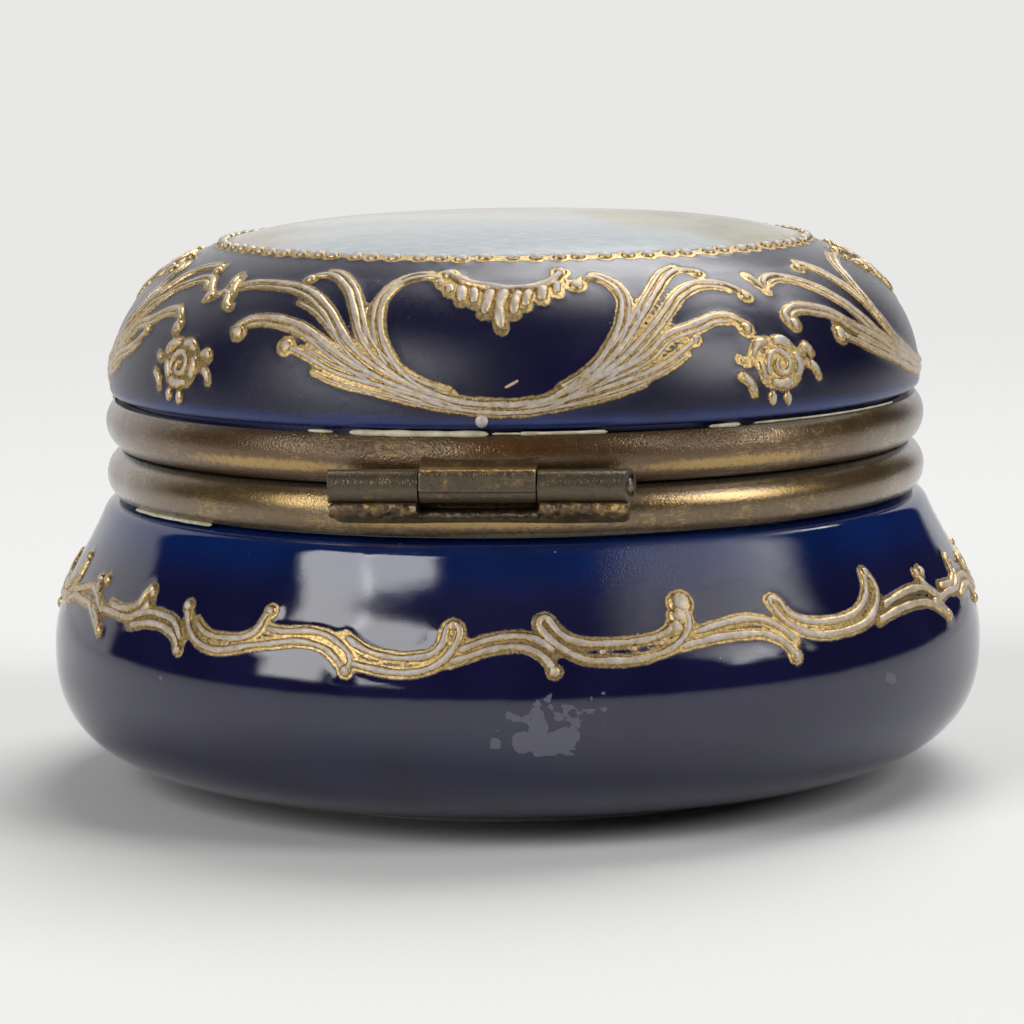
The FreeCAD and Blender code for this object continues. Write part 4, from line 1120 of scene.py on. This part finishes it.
# %% The solder bearer
WEB = [(42.6, 35.5), (43.9, 35.45), (44.7, 34.98), (45.5, 34.74), (46.45, 34.86), (46.72, 34.5), (46.6, 33.95),
       (46.1, 33.45), (45.2, 33.1), (44.3, 32.8), (43.4, 32.3), (42.6, 32.2)]
LEDGE = [(42.6, 34.25), (43.6, 34.1), (44.3, 33.95), (45.0, 33.9), (45.7, 33.85), (45.95, 33.65), (45.85, 33.4),
         (45.5, 33.2), (44.9, 33.0), (44.2, 32.75), (43.4, 32.3), (42.6, 32.2)]
x = np.linspace(-HINGE_HALF + 0.2, HINGE_HALF - 0.2, 220)
web, ledge = (in_steps(smooth_line(np.array(p), per_span=8), 0.16) for p in (WEB, LEDGE))
corners = 64
web, ledge = (np.stack([np.interp(np.linspace(0, 1, corners), np.linspace(0, 1, len(p)), p[:, k]) for k in (0, 1)], axis=1) for p in (web, ledge))
under_side = np.clip((np.abs(x) - SIDE_FROM + 0.1) / 0.25, 0, 1)[:, None, None]
loops = ledge + (web - ledge) * under_side
collar_at = np.sqrt(42.6 ** 2 - x ** 2)[:, None]
follow = np.clip((45.4 - loops[..., 0]) / 2.8, 0, 1)
loops[..., 0] -= (42.6 - collar_at) * follow
rough_front = np.clip((loops[..., 0] - 44.6) / 1.0, 0, 1) * (loops[..., 1] < 34.7)
loops[..., 0] += lumps(len(x), corners, 60, 16, 0.13) * rough_front - 0.05 * rough_front
loops[..., 1] += lumps(len(x), corners, 60, 16, 0.07) * rough_front
ends = np.clip((HINGE_HALF - 0.2 - np.abs(x)) / 0.7, 0, 1)
inset = 1 - 0.3 * (1 - np.sqrt(1 - (1 - ends) ** 2))
loops = np.stack([loops[..., 0], 33.8 + (loops[..., 1] - 33.8) * inset[:, None]], axis=-1)
bright = 0.3 * under_side[..., 0] * (loops[..., 0] > 45.2) + lumps(len(x), corners, 40, 10, 0.2)
# Painted shade: the solder is darkened under the middle knuckle and where it tucks under the barrel.
painted_shade = np.where(np.abs(x) < SIDE_FROM, 0.75, 0.0)[:, None] + np.clip((loops[..., 1] - 34.6) / 0.3, 0, 1) * 0.8
bearer = bar("hinge_solder", x, loops, (44.2, 33.4), solder_brass, "bowl", painted={"bright": bright, "painted_shade": painted_shade})
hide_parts("bowl_hinge_plate")

# %% The pin
stretches = np.array([(-15.12, 0.02), (-15.1, 0.3), (-15.0, 0.55), (-14.85, 0.74), (-14.6, 0.8), (-14.4, 0.7), (-14.2, 0.55),
                      (14.1, 0.55), (14.2, 0.72), (14.3, 0.74), (14.36, 0.6), (14.4, 0.3), (14.41, 0.02)])
t = np.radians(np.arange(0, 360, 12))
loops = np.array([AXIS_Y, AXIS_Z]) + stretches[:, 1][:, None, None] * np.stack([np.cos(t), np.sin(t)], axis=-1)[None]
pin = bar("hinge_pin_wire", stretches[:, 0], loops, (AXIS_Y, AXIS_Z), pin_brass, "bowl")
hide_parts("hinge_pin")

# %% [markdown]
# ## Finishes on the small engineering pieces
# The outer knuckles, the band and the thumbpiece already have the right shape, so they stay as they are
# and only take a finish. A fine scratch that runs along the hinge comes from a grain stretched along the
# left-right axis. The cement bedding under the collars is coloured near black where it shows in the seam,
# as painted shade.

# %% Dress the carried-over pieces
def cement_finish():
    f = Finish("old setting cement")
    colour = f.blend(f.soft(f.grain(1.5, 4), 0.35, 0.7), tone(206, 200, 176), tone(170, 160, 132))
    colour = f.blend(f.times(f.specks(0.8, 0.1, 0.3), 0.7), colour, tone(90, 78, 60))
    return f.done(colour, 0.75, 0.0, f.relief(f.grain(0.3, 4, 0.7), 0.06))


def shaded_bedding_finish():
    """Cement in the depth of the seam, coloured near black as painted shade."""
    f = Finish("shaded bedding")
    colour = f.blend(f.soft(f.grain(0.8, 4), 0.35, 0.7), tone(22, 22, 20), tone(46, 44, 36))
    return f.done(colour, 0.85, 0.0, f.relief(f.grain(0.3, 4, 0.7), 0.06))


cement, bedding = cement_finish(), shaded_bedding_finish()
DRESS = {"hinge_brass": hinge_brass, "collar_brass": lid_collar_brass, "band_brass": band_brass, "pin_brass": pin_brass,
         "cement": bedding}
for label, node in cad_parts.items():
    for place in node.material_slots:
        if place.material.name in DRESS:
            place.material = DRESS[place.material.name]
print("carried-over pieces dressed:", sum(s.material in DRESS.values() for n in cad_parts.values() for s in n.material_slots))

# %% [markdown]
# ## Cement that squeezed out
# When the collars were pressed on, cream-coloured cement was pushed out in the seam and wiped, leaving
# short runs. Each run is a ridge like the enamel ones, on a small map of the seam itself.

# %% Squeezed-out cement
seam_map = Shell(np.array([(43.05, 40.9), (43.0, 41.2), (42.8, 41.75)]), 0)
foot_seam_map = Shell(np.array([(43.0, 30.55), (43.1, 30.8), (43.02, 31.1)]), 0)
lid_seam, bowl_seam = Piping(seam_map), Piping(foot_seam_map)
LID_RUNS = [(-17.8, 1.2, 0.62), (5.0, 16.8, 0.36), (1.5, 5.5, 0.22), (31, 36, 0.4), (38, 70, 0.22), (-24, -20, 0.3),
            (100, 121, 0.4), (150, 168, 0.5), (-100, -80, 0.4), (-150, -141, 0.3)]
BOWL_RUNS = [(-62, -41, 0.36), (96, 110, 0.34), (-170, -150, 0.3)]
for piping, runs in ((lid_seam, LID_RUNS), (bowl_seam, BOWL_RUNS)):
    for first, final, width in runs:
        azimuths = np.linspace(first, final, 5)
        piping.ridge(np.stack([azimuths, 0.3 + 0 * azimuths], axis=1), width=width, height=0.26, tips=(1.5, 1.5), gold=0)
lid_seam.build("lid_seam_cement", cement, "lid", "cement")
bowl_seam.build("bowl_seam_cement", cement, "bowl", "cement")

# %% [markdown]
# ## Floor, light and camera
# Glossy dark glaze shows its surroundings more than its own colour, so the light is part of the object's
# look: a pale sweep behind and at the sides, a dark room on the camera's side, a tall window of two panes
# on the left, a soft box on the right and one overhead. The camera is a long lens set low, looking down a little at the hinge.

# %% Floor
FLOOR_HALF, FADE_FROM, FADE_TO = 1.6, 0.07, 0.60
floor_mesh = bpy.data.meshes.new("floor")
corners = [(-FLOOR_HALF, -FLOOR_HALF, 0), (FLOOR_HALF, -FLOOR_HALF, 0), (FLOOR_HALF, FLOOR_HALF, 0), (-FLOOR_HALF, FLOOR_HALF, 0)]
floor_mesh.from_pydata(corners, [], [(0, 1, 2, 3)])
floor = bpy.data.objects.new("floor", floor_mesh)
bpy.context.scene.collection.objects.link(floor)
paper = Finish("pale paper sweep")
fibre = paper.blend(paper.soft(paper.grain(0.5, 5, 0.7), 0.3, 0.7), tone(218, 218, 217), tone(222, 222, 220))
sheet = paper.node("ShaderNodeBsdfDiffuse", {"Color": fibre, "Normal": paper.relief(paper.grain(0.6, 4), 0.02)})
away = paper.node("ShaderNodeVectorMath", {0: paper.spot}, operation="LENGTH").outputs["Value"]
clear = paper.node("ShaderNodeBsdfTransparent", {})
fading = paper.node("ShaderNodeMixShader", {0: paper.soft(away, FADE_FROM, FADE_TO), 1: sheet.outputs[0], 2: clear.outputs[0]})
paper.node("ShaderNodeOutputMaterial", {"Surface": fading.outputs[0]})
floor_mesh.materials.append(paper.material)

# %% Camera
AZIMUTH, PITCH, ROLL, YAW = (math.radians(d) for d in (184.6, 7.538, -0.706, -0.059))
DISTANCE, EYE_HEIGHT, LENS = 0.442203, 0.086319, 144.63


def camera_matrix():
    """Right, up and back directions of a level camera, pitched down, rolled, then swung round the box."""
    forward = np.array([math.sin(YAW) * math.cos(PITCH), math.cos(YAW) * math.cos(PITCH), -math.sin(PITCH)])
    right = np.array([math.cos(YAW), -math.sin(YAW), 0.0])
    up = np.cross(right, forward)
    rolled_right = right * math.cos(ROLL) + up * math.sin(ROLL)
    rolled_up = up * math.cos(ROLL) - right * math.sin(ROLL)
    swing = np.array([[math.cos(AZIMUTH), -math.sin(AZIMUTH), 0], [math.sin(AZIMUTH), math.cos(AZIMUTH), 0], [0, 0, 1]])
    place = swing @ np.array([0, -DISTANCE, EYE_HEIGHT])
    axes = swing @ np.stack([rolled_right, rolled_up, -forward], axis=1)
    matrix = np.eye(4)
    matrix[:3, :3], matrix[:3, 3] = axes, place
    return Matrix(matrix.tolist())


lens = bpy.data.cameras.new("camera")
lens.lens, lens.sensor_width, lens.clip_start, lens.clip_end = LENS, 36.0, 0.01, 50.0
camera = bpy.data.objects.new("camera", lens)
camera.matrix_world = camera_matrix()
bpy.context.scene.collection.objects.link(camera)
bpy.context.scene.camera = camera

# %% Surroundings
scene = bpy.context.scene
scene.view_settings.view_transform = "Standard"
world = bpy.data.worlds.new("studio")
scene.world = world
world.use_nodes = True
tree = world.node_tree
tree.nodes.clear()


def world_node(kind, inputs, **settings):
    made = tree.nodes.new(kind)
    for key, value in settings.items():
        setattr(made, key, value)
    for key, value in inputs.items():
        if isinstance(value, bpy.types.NodeSocket):
            tree.links.new(value, made.inputs[key])
        else:
            made.inputs[key].default_value = value
    return made


def beside_camera(degrees_left, elevation, distance):
    """A point seen from the box, so many degrees to the camera's left and up, in metres."""
    a = AZIMUTH - math.radians(degrees_left)
    e = math.radians(elevation)
    return np.array([math.sin(a) * math.cos(e), -math.cos(a) * math.cos(e), math.sin(e)]) * distance


SWEEP_CENTRE, SWEEP_HALF = 165, 47
PALE, DARK, CEILING, TABLE = 0.81, 0.010, 0.06, 0.72
direction = world_node("ShaderNodeTexCoord", {}).outputs["Generated"]
flat = world_node("ShaderNodeVectorMath", {0: direction, 1: (1, 1, 0)}, operation="MULTIPLY").outputs[0]
flat = world_node("ShaderNodeVectorMath", {0: flat}, operation="NORMALIZE").outputs[0]
middle = tuple(beside_camera(SWEEP_CENTRE, 0, 1).tolist())
facing = world_node("ShaderNodeVectorMath", {0: flat, 1: middle}, operation="DOT_PRODUCT").outputs["Value"]
edge = math.cos(math.radians(SWEEP_HALF))
lit = world_node("ShaderNodeMapRange", {"Value": facing, "From Min": edge - 0.01, "From Max": edge + 0.03,
                                        "To Min": DARK, "To Max": PALE}, interpolation_type="SMOOTHSTEP").outputs[0]
height = world_node("ShaderNodeSeparateXYZ", {0: direction}).outputs["Z"]
over = world_node("ShaderNodeMapRange", {"Value": height, "From Min": 0.55, "From Max": 0.85},
                  interpolation_type="SMOOTHSTEP").outputs[0]
lit = world_node("ShaderNodeMix", {0: over, 2: lit, 3: CEILING}, data_type="FLOAT").outputs[0]
under = world_node("ShaderNodeMath", {0: height, 1: 0.0}, operation="LESS_THAN").outputs[0]
lit = world_node("ShaderNodeMix", {0: under, 2: lit, 3: TABLE}, data_type="FLOAT").outputs[0]
straight = world_node("ShaderNodeLightPath", {}).outputs["Is Camera Ray"]
strength = world_node("ShaderNodeMix", {0: straight, 2: lit, 3: PALE}, data_type="FLOAT").outputs[0]
background = world_node("ShaderNodeBackground", {"Color": (1.0, 0.995, 0.985, 1), "Strength": strength})
world_node("ShaderNodeOutputWorld", {"Surface": background.outputs[0]})


# %% Soft boxes
def soft_box(name, degrees_left, elevation, distance, width, tall, watts, tint=(1, 1, 1)):
    """A rectangular lamp that looks at the box."""
    lamp = bpy.data.lights.new(name, "AREA")
    lamp.shape, lamp.size, lamp.size_y, lamp.energy, lamp.color = "RECTANGLE", width, tall, watts, tint
    place = beside_camera(degrees_left, elevation, distance) + np.array([0, 0, 0.03])
    box = bpy.data.objects.new(name, lamp)
    back = place / np.linalg.norm(place)
    right = np.cross([0, 0, 1], back)
    right /= np.linalg.norm(right)
    matrix = np.eye(4)
    matrix[:3, 0], matrix[:3, 1], matrix[:3, 2], matrix[:3, 3] = right, np.cross(back, right), back, place
    box.matrix_world = Matrix(matrix.tolist())
    bpy.context.scene.collection.objects.link(box)
    return box


soft_box("left window, outer pane", 56.7, 27, 3.0, 0.88, 1.95, 28)
soft_box("left window, inner pane", 36.4, 27, 3.0, 0.90, 1.95, 28)
soft_box("right soft box", -65.5, 31.5, 3.0, 1.25, 1.7, 42)
soft_box("overhead soft box", -150, 58, 3.0, 2.2, 1.9, 76)

# %% Finish
bpy.context.view_layer.update()
